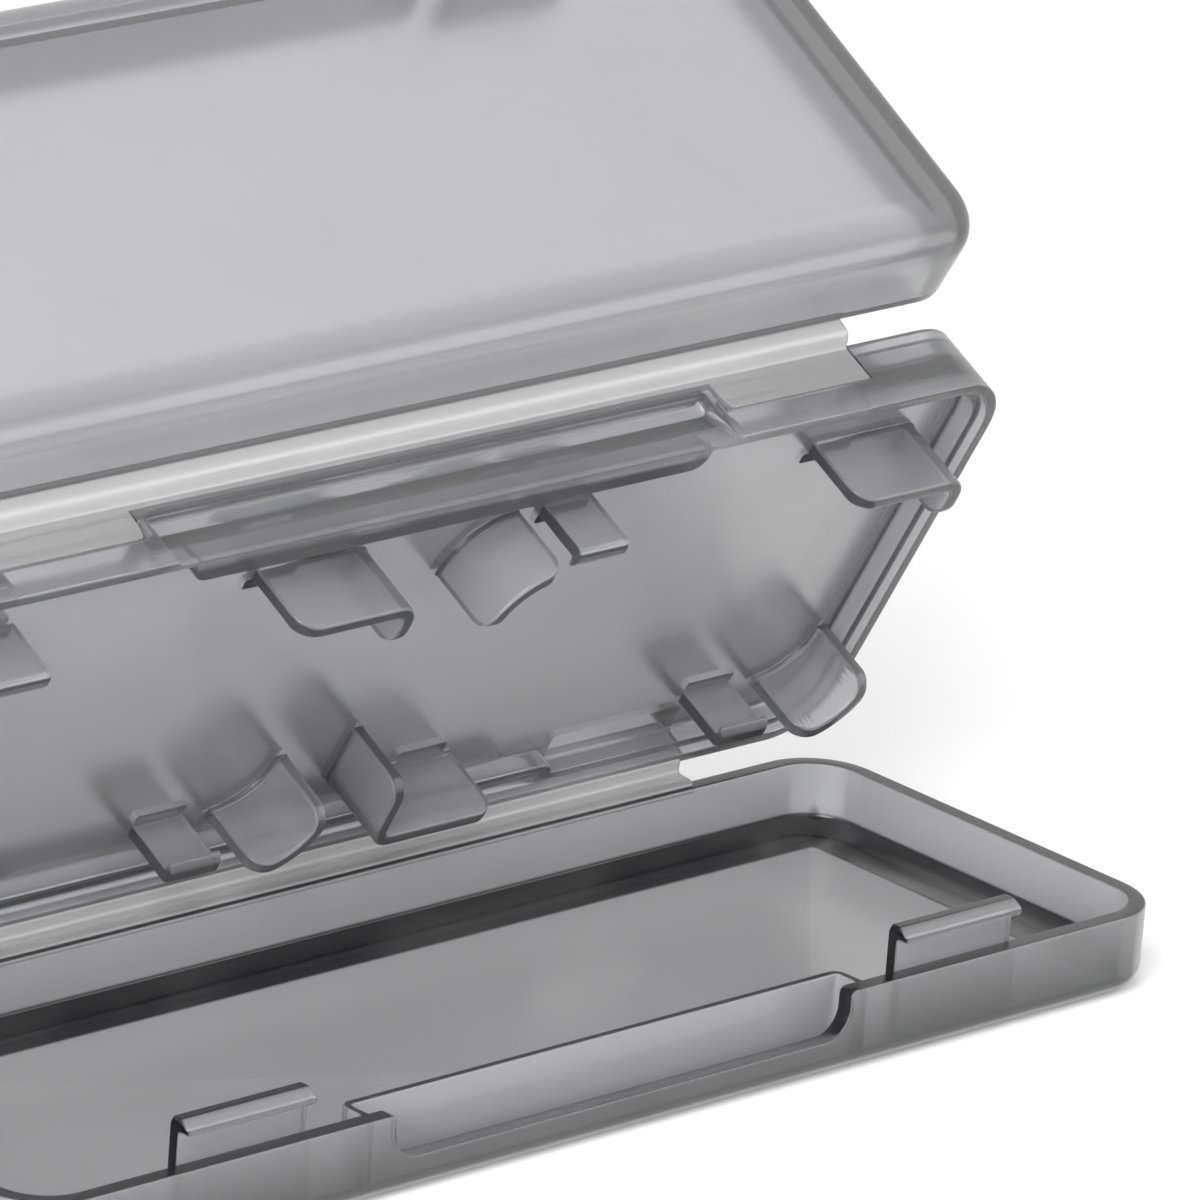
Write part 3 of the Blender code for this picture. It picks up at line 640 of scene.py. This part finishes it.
HOOK_INNER_X = HL - HOOK_FROM_END - HOOK_WIDTH
FILM, FILM_TAIL, THUMB_TAIL = 0.35 * mm, 2.9 * mm, 0.7 * mm
REAR_FILM, FRONT_FILM = 68.0 * mm, 70.0 * mm
PLACES = {
    "right": (HL - CARD_FROM_END - CARD_LENGTH_ROOM, HD - CARD_FROM_BACK),
    "left": (-HL + CARD_FROM_END, HD - CARD_FROM_BACK),
}


def card_posts():
    """The four plan paths of one card place, u along +X and v towards the front, and each bend's radius:
    two corners with a long and a short leg, a quarter curve, and one that flares away from the place."""
    half, right, front = POST / 2, CARD_LENGTH_ROOM + POST / 2, CARD_WIDTH_ROOM + POST / 2
    leg, rise = CARD_LENGTH_ROOM + POST - FRONT_LEG, CARD_WIDTH_ROOM + POST - FRONT_SHORT
    flared = FLARED_X + FLARED_LEG
    return (
        (((BACK_LEG - POST, -half), (-half, -half), (-half, BACK_SHORT - POST)), BEND),
        (((leg, front), (right, front), (right, rise)), BEND),
        (((-half, front - CURVE_LEG), (-half, front), (CURVE_LEG - half, front)), CURVE),
        (((FLARED_X, -half), (flared, -half), (flared, FLARED_LEG - half)), FLARED_CURVE),
    )


def all_posts():
    """Every post of both places, once on each face."""
    shapes = []
    for x, y in PLACES.values():
        for points, radius in card_posts():
            path = plan_path([(x + u, y - v) for u, v in points], radius)
            for side, face in ((-1, PANEL_LOW), (1, PANEL_HIGH)):
                foot, top = face - 0.1 * mm * side, face + POST_HEIGHT * side
                shapes.append(swept_plate(path, POST, foot, top, POST_TIP, edge=0.2 * mm, flare=0.35 * mm))
    return shapes


def leaf_windows():
    """Openings of the panel beside the fingers and the corner posts, and over the hooks."""
    shapes = []
    for x, y in PLACES.values():
        for u, v in (
            (UPPER_FINGER_X, CARD_WIDTH_ROOM - FINGER_WINDOW),
            (LOWER_FINGER_X, 0.0),
            (LOWER_WINDOW_X, 0.0),
            (CARD_LENGTH_ROOM - LOWER_WINDOW_X, CARD_WIDTH_ROOM - FINGER_WINDOW),
        ):
            half = FINGER_WIDTH / 2
            plan = rectangle(x + u - half, x + u + half, y - v - FINGER_WINDOW, y - v, (0.2 * mm,) * 4)
            shapes.append(slab(plan, PANEL_LOW - mm, PANEL_HIGH + mm, 0.0, "Z"))
    for turn in (AS_DRAWN, HALF_TURN):
        for side in (-1, 1):
            outer = HOOK_INNER_X + HOOK_WIDTH + 0.5 * mm
            low, high = sorted((side * (HOOK_INNER_X - 0.5 * mm), side * outer))
            back = -HD + HOOK_FROM_FACE + HOOK_THICKNESS + 0.4 * mm
            plan = rectangle(low, high, -HD + RIM, back, (0.25 * mm,) * 4)
            shapes.append(moved(slab(plan, LEAF_LOW - mm, PANEL_HIGH + 0.15 * mm, 0.0, "Z"), turn))
    return shapes


def film_seats():
    """Shallow steps in the long walls, so that each film lies flush."""
    shapes = []
    seat = FILM + 0.05 * mm
    for turn, length in ((AS_DRAWN, FRONT_FILM), (HALF_TURN, REAR_FILM)):
        near, far = RECESS_HALF + RECESS_END_WALL, length / 2 + 0.1 * mm
        for low, high, tail in ((-far, far, THUMB_TAIL), (-far, -near, FILM_TAIL), (near, far, FILM_TAIL)):
            foot = LEAF_HIGH - tail - 0.1 * mm
            shapes.append(moved(block((low, -HD - mm, foot), (high, -HD + seat, LEAF_HIGH + mm)), turn))
    return shapes


print("posts:", len(all_posts()), "windows:", len(leaf_windows()))

# %% [markdown]
# The leaf is put together in the order of a mould maker's drawing: the thick blocks and the posts are
# added to the frame, then the scoops, the seats of the films and the windows are cut.

# %% the leaf
leaf = make_object("leaf_moulding", leaf_frame(), TO_LEAF)
sides = (AS_DRAWN, HALF_TURN)
for shapes, turns, operation in (
    ([recess_block], sides, "UNION"),
    ([recess_head], sides, "UNION"),
    (all_posts(), sides[:1], "UNION"),
    ([recess_scoop()], sides, "DIFFERENCE"),
    (film_seats(), sides[:1], "DIFFERENCE"),
    (leaf_windows(), sides[:1], "DIFFERENCE"),
):
    boolean(leaf, [moved(shape, TO_LEAF @ turn) for shape in shapes for turn in turns], operation)
finish_surface(leaf)
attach(leaf, "leaf")
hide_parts("card_leaf")
print("leaf faces:", len(leaf.data.polygons))

# %% [markdown]
# Hooks and card fingers share one side view: a flat tongue whose tip leans out to a lip. Its outline is
# rounded corner by corner, and pulled out sideways with rounded rims.

# %% hooks and fingers


def hooked(width, thickness, height, lip, lip_height, edge):
    """The side view in (y, z), lip towards -Y, standing on the origin."""
    half = thickness / 2
    view = rounded_polygon(
        [
            (half, 0.0), (half, height - lip_height / 2), (half / 2, height), (-half, height),
            (-half - lip, height - lip_height / 2), (-half - lip, height - lip_height),
            (-half, height - lip_height), (-half, 0.0),
        ],
        (0, 0.3 * mm, 0.15 * mm, 0.3 * mm, 0.12 * mm, 0.12 * mm, 0.12 * mm, 0),
        4,
    )
    return slab(view, -width / 2, width / 2, edge, "X")


def make_hook(name, shape, stand, body, node):
    """One hook or finger in its place at rest."""
    piece = make_object(name, shape, stand)
    finish_surface(piece)
    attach(piece, body)
    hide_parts(node)
    return piece


HOOK_RISE, FINGER_RISE, ROOT_BITE = 2.4 * mm, 4.2 * mm, 0.1 * mm
hooks = []
hook_height = COVER_HEIGHT + HOOK_RISE - FLOOR + ROOT_BITE
hook_y = -HD + HOOK_FROM_FACE + HOOK_THICKNESS / 2
for prefix, turn, place in (("tray_hook", AS_DRAWN, TO_TRAY), ("cover_hook", HALF_TURN, TO_COVER)):
    for side, word in ((-1, "left"), (1, "right")):
        x = side * (HOOK_INNER_X + HOOK_WIDTH / 2)
        node = f"{prefix}_{word}"
        shape = hooked(
            HOOK_WIDTH, HOOK_THICKNESS, hook_height, lip=0.8 * mm, lip_height=0.9 * mm, edge=SOFT_EDGE
        )
        stand = place @ turn @ Matrix.Translation((x, hook_y, FLOOR - ROOT_BITE))
        hooks.append(make_hook(node + "_moulding", shape, stand, node + "_body", node))
for face, flip in (("under", math.pi), ("over", 0.0)):
    z = LEAF_MID + (PANEL / 2 - ROOT_BITE) * (1 if face == "over" else -1)
    for word, (x, y) in PLACES.items():
        for row, u, v, facing in (
            ("back", LOWER_FINGER_X, -POST / 2, 0.0),
            ("front", UPPER_FINGER_X, CARD_WIDTH_ROOM + POST / 2, math.pi),
        ):
            node = f"card_finger_{face}_{word}_{row}"
            shape = hooked(
                FINGER_WIDTH, POST, FINGER_RISE + ROOT_BITE, lip=0.6 * mm, lip_height=0.6 * mm, edge=0.12 * mm
            )
            stand = Matrix.Translation((x + u, y - v, z)) @ Matrix.Rotation(flip, 4, "Y")
            stand = TO_LEAF @ stand @ Matrix.Rotation(facing, 4, "Z")
            hooks.append(make_hook(node + "_moulding", shape, stand, node + "_body", node))
print("hooks and fingers:", len(hooks))

# %% [markdown]
# Each film is one bent strip of thin plastic. Its centre line starts in the cover's rim, lies over the
# rim, bends on the hinge line and runs down the leaf's wall; the corners of that line are arcs. Towards
# the thumb recess the tail is short, so the length of the tail changes along the strip.

# %% films
LINE_STEP, END_ROUND, TAIL_FADE = 0.12 * mm, 0.12 * mm, 0.5 * mm
LINE_BENDS = (0.3 * mm, 0.45 * mm, 0.3 * mm)


def bend_line(corners, radii):
    """A line through the corners in (y, z) with the inner ones replaced by arcs, cut into short steps."""
    corners = [np.array(corner, float) for corner in corners]
    points = corners[:1]
    for before, here, after, radius in zip(corners, corners[1:], corners[2:], radii):
        points += [point for point, along in corner_arc(before, here, after, radius, 8)]
    points = np.array(points + corners[-1:])
    lengths = run_lengths(points)
    marks = np.linspace(0, lengths[-1], int(lengths[-1] / LINE_STEP) + 2)
    return np.stack([np.interp(marks, lengths, points[:, k]) for k in (0, 1)], -1)


def film_strip(length, line_long, line_short):
    """The strip's sections along X: the line thickened by half the film to each side. The number of
    points is the same in the long and the short line, so a share of each gives the rounded change."""
    half = length / 2
    near = RECESS_HALF + RECESS_END_WALL + 0.15 * mm
    marks = [half - END_ROUND * (1 - math.cos(a)) for a in arc(4)]
    marks += list(np.linspace(half - 0.3 * mm, near + TAIL_FADE, 10))
    marks += [near + TAIL_FADE * (1 - s) for s in np.linspace(0.15, 1, 6)]
    marks += list(np.linspace(near - 0.3 * mm, 0, 16))
    xs = np.unique(np.round(np.array(marks + [-m for m in marks]), 7))
    sections = []
    for x in xs:
        share = np.clip((abs(x) - near) / TAIL_FADE, 0, 1)
        share = math.sqrt(max(0.0, 1 - (1 - share) ** 2))
        line = line_short * (1 - share) + line_long * share
        run = np.gradient(line, axis=0)
        run /= np.linalg.norm(run, axis=1)[:, None]
        side = np.stack([-run[:, 1], run[:, 0]], -1)
        from_end = half - abs(x)
        thick = FILM / 2
        if from_end < END_ROUND:
            thick -= END_ROUND - math.sqrt(max(0.0, END_ROUND**2 - (END_ROUND - from_end) ** 2))
        ring = np.concatenate([line + side * thick, (line - side * thick)[::-1]])
        sections.append(np.column_stack([np.full(len(ring), x), ring]))
    return loft(np.stack(sections), cap_first=True, cap_last=True)


def strip_lines(to_cover, to_leaf):
    """The long and the short centre line at rest, for the rear hinge as drawn: cover points and leaf
    points are each carried by their own turn."""
    inner, pivot = HD - SHELL / 2, HD + HINGE_REACH - 0.05 * mm
    cover_part = [(inner, COVER_HEIGHT - 0.4 * mm), (inner, COVER_HEIGHT + 0.16 * mm)]
    bend = (pivot, COVER_HEIGHT + RIM_GAP / 2)
    lines = []
    for tail in (FILM_TAIL, THUMB_TAIL):
        leaf_part = [(HD - FILM / 2, LEAF_LOW + 0.16 * mm), (HD - FILM / 2, LEAF_LOW + tail)]
        carried = [to_cover @ Vector((0, *p)) for p in cover_part]
        carried.append(to_leaf @ Vector((0, *bend)))
        carried += [to_leaf @ Vector((0, *p)) for p in leaf_part]
        lines.append(bend_line([(p.y, p.z) for p in carried], LINE_BENDS))
    shared = FILM_TAIL - THUMB_TAIL + 0.1 * mm
    runs = [run_lengths(line) for line in lines]
    alike = np.linspace(0, runs[0][-1] - shared, 24)
    tails = [np.linspace(alike[-1], run[-1], 9)[1:] for run in runs]
    return [
        np.stack([np.interp(np.concatenate([alike, tail]), run, line[:, k]) for k in (0, 1)], -1)
        for line, run, tail in zip(lines, runs, tails)
    ]


def make_film(name, length, to_cover, to_leaf, bodies, nodes):
    """One film, drawn at rest with its bend about the hinge line, and fixed in place on neither body."""
    film = make_object(name, film_strip(length, *strip_lines(to_cover, to_leaf)))
    shade_by_angle(film)
    if bodies == ("tray", "leaf"):
        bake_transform(film)
    else:
        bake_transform(film)
    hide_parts(*nodes)
    return film


rear_film = make_film(
    "rear_film", REAR_FILM, TO_TRAY, TO_LEAF, ("tray", "leaf"),
    ("rear_strip_tray_half", "rear_strip_leaf_half"),
)
front_film = make_film(
    "front_film", FRONT_FILM, TO_COVER @ HALF_TURN, TO_LEAF @ HALF_TURN, ("leaf", "cover"),
    ("front_strip_leaf_half", "front_strip_cover_half"),
)
print("film faces:", len(rear_film.data.polygons), len(front_film.data.polygons))

# %% [markdown]
# Smoke grey polypropylene, moulded in a satin mould, is cloudy and lets light through. A thin wall looks
# pale and a rim, corner or post's edge, where the eye looks along the plastic, looks dark. So every point
# keeps the amount of plastic behind it, measured by rays, and the colour follows that amount: partly the
# plastic's own tint, partly painted shade for the light that is lost along the plastic.

# %% thickness
THICKEST, START_DEPTH, WIDE_FACE = 6.0, 0.01 * mm, 3 * mm * mm


def store_thickness(obj, change=None):
    """How much plastic lies behind each point: a ray goes from the point into the piece against the
    normal of each face that meets there, and the shortest way out counts. A wide flat face takes the
    middle value of rays from its own triangles at most. The value is kept in mm, and change, where given,
    adds painted shade to it."""
    mesh = obj.data
    points = np.empty(len(mesh.vertices) * 3)
    mesh.vertices.foreach_get("co", points)
    points = points.reshape(-1, 3)
    tree = BVHTree.FromPolygons(points.tolist(), [tuple(face.vertices) for face in mesh.polygons])

    def way_out(start, inward):
        hit = tree.ray_cast(Vector(start) + inward * START_DEPTH, inward)
        return THICKEST if hit[0] is None else min(hit[3] / mm, THICKEST)

    depth = np.full(len(points), THICKEST)
    middles = {}
    mesh.calc_loop_triangles()
    for triangle in mesh.loop_triangles:
        if mesh.polygons[triangle.polygon_index].area > WIDE_FACE:
            centre = points[list(triangle.vertices)].mean(axis=0)
            middles.setdefault(triangle.polygon_index, []).append(way_out(centre, -triangle.normal))
    for face in mesh.polygons:
        most = np.median(middles[face.index]) if face.index in middles else THICKEST
        for i in face.vertices:
            depth[i] = min(depth[i], most, way_out(points[i], -face.normal))
    if change:
        change(points, depth)
    attribute = mesh.attributes.new("thickness_and_painted_shade_mm", "FLOAT", "POINT")
    attribute.data.foreach_set("value", depth)
    return depth


print("rays stop after", THICKEST, "mm")

# %% [markdown]
# A straight ray misses how plastic pipes light along a wall and how shade falls under the scoop's lip.
# Two functions paint that shade in by the place of a point: the tray's hollow fillet and the foot of its
# wall, and the leaf's wall before the panel and its scoop. Their values, given as thicknesses, were
# matched to the object.

# %% painted shade along the walls and in the scoop
# levels of painted shade, given as stored thickness in mm
WALL_HEAD_PAINTED_SHADE, WALL_PAINTED_SHADE_GAIN, BEHIND_PANEL_PAINTED_SHADE, BEHIND_RIM_PAINTED_SHADE, SCOOP_TOP_PAINTED_SHADOW, SCOOP_FOOT_PAINTED_SHADE = 1.5, 0.6, 2.0, 1.1, 1.8, 1.25
ON_SURFACE, SCOOP_HEAD = 0.05 * mm, 1.4 * mm


def tray_painted_shade(points, depth):
    """Painted shade: the hollow fillet between floor and wall counts as half of the most, which paints a
    dark band where shade falls. The outer wall is painted darker from its rim to its foot, in proportion
    to the way down."""
    reach = np.minimum(HL - np.abs(points[:, 0]), HD - np.abs(points[:, 1]))
    height = points[:, 2]
    back = np.clip((points[:, 1] + HD - PLAN_RADIUS) / (2 * mm), 0, 1)
    fillet = (reach > SHELL - 0.1 * mm) & (height > FLOOR + 0.01 * mm)
    fillet &= height < FLOOR + from_front(SLOPE_HIGH, back)
    # painted shade: a dark band along the hollow fillet between floor and wall
    depth[fillet] = THICKEST / 2
    # painted shade: the outer wall darker towards its foot
    outer = reach < 0.3 * mm
    depth[outer] = np.maximum(depth, WALL_HEAD_PAINTED_SHADE + WALL_PAINTED_SHADE_GAIN * (1 - height / COVER_HEIGHT))[outer]


def leaf_painted_shade(points, depth):
    """The points are carried back to the closed case, once for each long side. Painted shade: the wall is
    painted darker where the panel stands behind it, and the scoop gets a painted shadow in its upper part,
    under the lip, and lighter shade at its foot."""
    for turn in (AS_DRAWN, HALF_TURN):
        back = np.array((TO_LEAF @ turn).inverted())
        x, y, z = (points @ back[:3, :3].T + back[:3, 3]).T
        outer = np.minimum(HL - np.abs(x), HD - np.abs(y)) < ON_SURFACE
        # painted shade: the wall darker where the panel stands behind it
        wall = np.where(np.abs(z - LEAF_MID) < 1.5 * mm, BEHIND_PANEL_PAINTED_SHADE, BEHIND_RIM_PAINTED_SHADE)
        depth[outer] = np.maximum(depth, wall)[outer]
        inside = np.abs(x) < RECESS_HALF + 0.1 * mm
        inside &= (y > -HD + ON_SURFACE) & (y < -HD + RECESS_DEPTH + 0.1 * mm)
        inside &= (z > LEAF_LOW - 0.1 * mm) & (z < LEAF_LOW + RECESS_HEIGHT + 0.1 * mm)
        # painted shadow under the scoop's upper lip, lighter painted shade at its foot
        upper = z > LEAF_LOW + RECESS_HEIGHT - SCOOP_HEAD
        depth[inside & upper] = SCOOP_TOP_PAINTED_SHADOW
        depth[inside & ~upper] = np.minimum(depth, SCOOP_FOOT_PAINTED_SHADE)[inside & ~upper]


print("fillet counts as", THICKEST / 2, "mm")

# %% [markdown]
# The material is a rough dielectric with the index of polypropylene, 1.49. Light that goes through is
# darkened by a volume, which gives the smoke, and the part that is scattered back takes its colour from
# the stored thickness with its painted shade. Two noises give a faint flow mottle of 9 mm and the mould's
# fine grain.

# %% polypropylene
FLOW, GRAIN, GRAIN_HEIGHT, REFRACTION = 9 * mm, 0.15 * mm, 0.004 * mm, 1.49


def linear(hex_colour):
    """An sRGB hex colour as linear light: each channel divided by 12.92 or raised to 2.4."""
    values = [int(hex_colour[i:i + 2], 16) / 255 for i in (1, 3, 5)]
    return (*[v / 12.92 if v <= 0.04045 else ((v + 0.055) / 1.055) ** 2.4 for v in values], 1.0)


def add_node(owner, kind, links=(), **settings):
    """Adds a node, sets its properties or input values by name, and links (socket, input name) pairs."""
    node = owner.node_tree.nodes.new(kind)
    for key, value in settings.items():
        if hasattr(node, key):
            setattr(node, key, value)
        else:
            node.inputs[key.replace("_", " ")].default_value = value
    for socket, name in links:
        owner.node_tree.links.new(socket, node.inputs[name])
    return node


def polypropylene(name, thin, thick, transmission, roughness, density, pale_to=0.9, dark_from=3.0):
    """The colour goes smoothly from thin to thick as the thickness in mm goes from pale_to to dark_from,
    which paints the shade held in the stored thickness into the colour.
    """
    material = bpy.data.materials.new(name)
    material.use_nodes = True
    tree = material.node_tree
    shader = tree.nodes["Principled BSDF"]
    shader.inputs["Transmission Weight"].default_value = transmission
    shader.inputs["IOR"].default_value = REFRACTION
    place = add_node(material, "ShaderNodeTexCoord").outputs["Object"]
    depth = add_node(material, "ShaderNodeAttribute", attribute_name="thickness_and_painted_shade_mm").outputs["Fac"]
    share = add_node(
        material, "ShaderNodeMapRange", [(depth, "Value")], interpolation_type="SMOOTHSTEP",
        From_Min=pale_to, From_Max=dark_from,
    ).outputs["Result"]
    flow = add_node(
        material, "ShaderNodeTexNoise", [(place, "Vector")], Scale=1 / FLOW, Detail=3.0
    ).outputs["Fac"]
    mottle = add_node(
        material, "ShaderNodeMapRange", [(flow, "Value")],
        From_Min=0.3, From_Max=0.7, To_Min=-0.02, To_Max=0.02,
    ).outputs["Result"]
    both = add_node(material, "ShaderNodeMath", [(share, 0), (mottle, 1)], operation="ADD").outputs[0]
    ramp = add_node(material, "ShaderNodeValToRGB", [(both, "Fac")])
    ramp.color_ramp.elements[0].color = linear(thin)
    ramp.color_ramp.elements[1].color = linear(thick)
    tree.links.new(ramp.outputs["Color"], shader.inputs["Base Color"])
    satin = add_node(
        material, "ShaderNodeMapRange", [(flow, "Value")], To_Min=roughness - 0.04, To_Max=roughness + 0.04
    ).outputs["Result"]
    tree.links.new(satin, shader.inputs["Roughness"])
    grain = add_node(
        material, "ShaderNodeTexNoise", [(place, "Vector")], Scale=1 / GRAIN, Detail=2.0
    ).outputs["Fac"]
    bump = add_node(material, "ShaderNodeBump", [(grain, "Height")], Strength=0.03, Distance=GRAIN_HEIGHT)
    tree.links.new(bump.outputs["Normal"], shader.inputs["Normal"])
    absorb = add_node(material, "ShaderNodeVolumeAbsorption", Color=(0, 0, 0, 1), Density=density)
    tree.links.new(absorb.outputs[0], tree.nodes["Material Output"].inputs["Volume"])
    return material


print("flow", FLOW / mm, "mm, grain", GRAIN / mm, "mm")

# %% [markdown]
# The case is one plastic, but the tray lies on the table, the top cover catches the light and the leaf
# hangs between them, so each has its own pair of colours, painted light and shade on copies of one
# plastic. The film is stretched thin, which clears it.

# %% who wears what
# the cover, tray and leaf copies paint in the light and shade that fall on each piece
smoke = polypropylene("polypropylene_smoke_moulded_satin", "#d2d2d4", "#707072", 0.86, 0.22, 330, 1.25, 3.4)
tray_smoke_painted_light_and_shade = polypropylene("polypropylene_smoke_tray_satin", "#e8e8ea", "#2c2c2e", 0.76, 0.22, 350, 0.95, 2.4)
leaf_smoke_painted_light_and_shade = polypropylene("polypropylene_smoke_leaf_satin", "#dcdcde", "#848486", 0.82, 0.22, 330)
film_plastic = polypropylene("polypropylene_film_thin", "#cecece", "#a4a4a6", 0.65, 0.25, 100)
wearing = {
    smoke: (lid, *hooks[2:4]), tray_smoke_painted_light_and_shade: (tray, *hooks[:2]), leaf_smoke_painted_light_and_shade: (leaf, *hooks[4:]),
    film_plastic: (rear_film, front_film),
}
# the painted shade that the tray and the leaf add to their stored thickness
painted_shade_by_piece = {tray: tray_painted_shade, leaf: leaf_painted_shade}
for material, pieces in wearing.items():
    for obj in pieces:
        depth = store_thickness(obj, painted_shade_by_piece.get(obj))
        obj.data.materials.clear()
        obj.data.materials.append(material)
    print(material.name, "median thickness", round(float(np.median(depth)), 2), "mm")

# %% [markdown]
# Soft light, as in a product studio: a large lamp from the upper left, a weaker one from the front right,
# one from behind that shines through the plastic, and a low one from the left that reaches under the leaf.

# %% lights


def soft_light(name, place, size, watts, aim=(0, 0, 0.02)):
    """A rectangular area light at a place, turned to look at the case."""
    data = bpy.data.lights.new(name, "AREA")
    data.shape = "RECTANGLE"
    data.size, data.size_y = size
    data.energy = watts
    light = bpy.data.objects.new(name, data)
    light.location = place
    light.rotation_euler = (Vector(aim) - Vector(place)).to_track_quat("-Z", "Y").to_euler()
    bpy.context.scene.collection.objects.link(light)


soft_light("key", (-0.35, -0.25, 0.5), (0.3, 0.3), 2.3)
soft_light("fill", (0.4, -0.4, 0.25), (0.4, 0.4), 1.2)
soft_light("rear", (0.1, 0.5, 0.35), (0.5, 0.3), 1.0)
soft_light("low", (-0.5, -0.2, 0.16), (0.4, 0.2), 2.0, (0, 0, 0.005))
print("lights:", len(bpy.data.lights))

# %% [markdown]
# The background is white paper. The world is white where the camera, a reflection or the plastic looks at
# it, and half as strong as a light. The paper floor gets a small lift for the same rays, so that it meets
# the white of the world but keeps the shadow of the case.

# %% world and floor
WORLD_LIGHT, PAPER, FLOOR_REACH, FLOOR_LIFT = 0.5, 0.9, 2, 0.12


def seen_or_mirrored(owner):
    """1 for camera, glossy and transmission rays, the greatest of the three, and 0 for all others."""
    rays = add_node(owner, "ShaderNodeLightPath").outputs
    pair = [(rays["Is Glossy Ray"], 0), (rays["Is Transmission Ray"], 1)]
    mirrored = add_node(owner, "ShaderNodeMath", pair, operation="MAXIMUM").outputs[0]
    pair = [(rays["Is Camera Ray"], 0), (mirrored, 1)]
    return add_node(owner, "ShaderNodeMath", pair, operation="MAXIMUM").outputs[0]


world = bpy.data.worlds.new("backdrop")
bpy.context.scene.world = world
world.use_nodes = True
background = world.node_tree.nodes["Background"]
background.inputs["Color"].default_value = (1, 1, 1, 1)
strength = add_node(world, "ShaderNodeMath", [(seen_or_mirrored(world), 0)], operation="MULTIPLY_ADD")
strength.inputs[1].default_value = 1 - WORLD_LIGHT
strength.inputs[2].default_value = WORLD_LIGHT
world.node_tree.links.new(strength.outputs[0], background.inputs["Strength"])

floor_mesh = bpy.data.meshes.new("floor")
corners = [(x * FLOOR_REACH, y * FLOOR_REACH, 0) for x, y in ((-1, -1), (1, -1), (1, 1), (-1, 1))]
floor_mesh.from_pydata(corners, [], [(0, 1, 2, 3)])
floor = bpy.data.objects.new("floor", floor_mesh)
bpy.context.scene.collection.objects.link(floor)
paper = bpy.data.materials.new("matt_white_paper")
paper.use_nodes = True
sheet = paper.node_tree.nodes["Principled BSDF"]
sheet.inputs["Base Color"].default_value = (PAPER, PAPER, PAPER, 1)
sheet.inputs["Roughness"].default_value = 0.9
sheet.inputs["Emission Color"].default_value = (1, 1, 1, 1)
lift = add_node(paper, "ShaderNodeMath", [(seen_or_mirrored(paper), 0)], operation="MULTIPLY")
lift.inputs[1].default_value = FLOOR_LIFT
paper.node_tree.links.new(lift.outputs[0], sheet.inputs["Emission Strength"])
floor_mesh.materials.append(paper)
bpy.context.scene.view_settings.view_transform = "Standard"
print("floor:", 2 * FLOOR_REACH, "m wide")
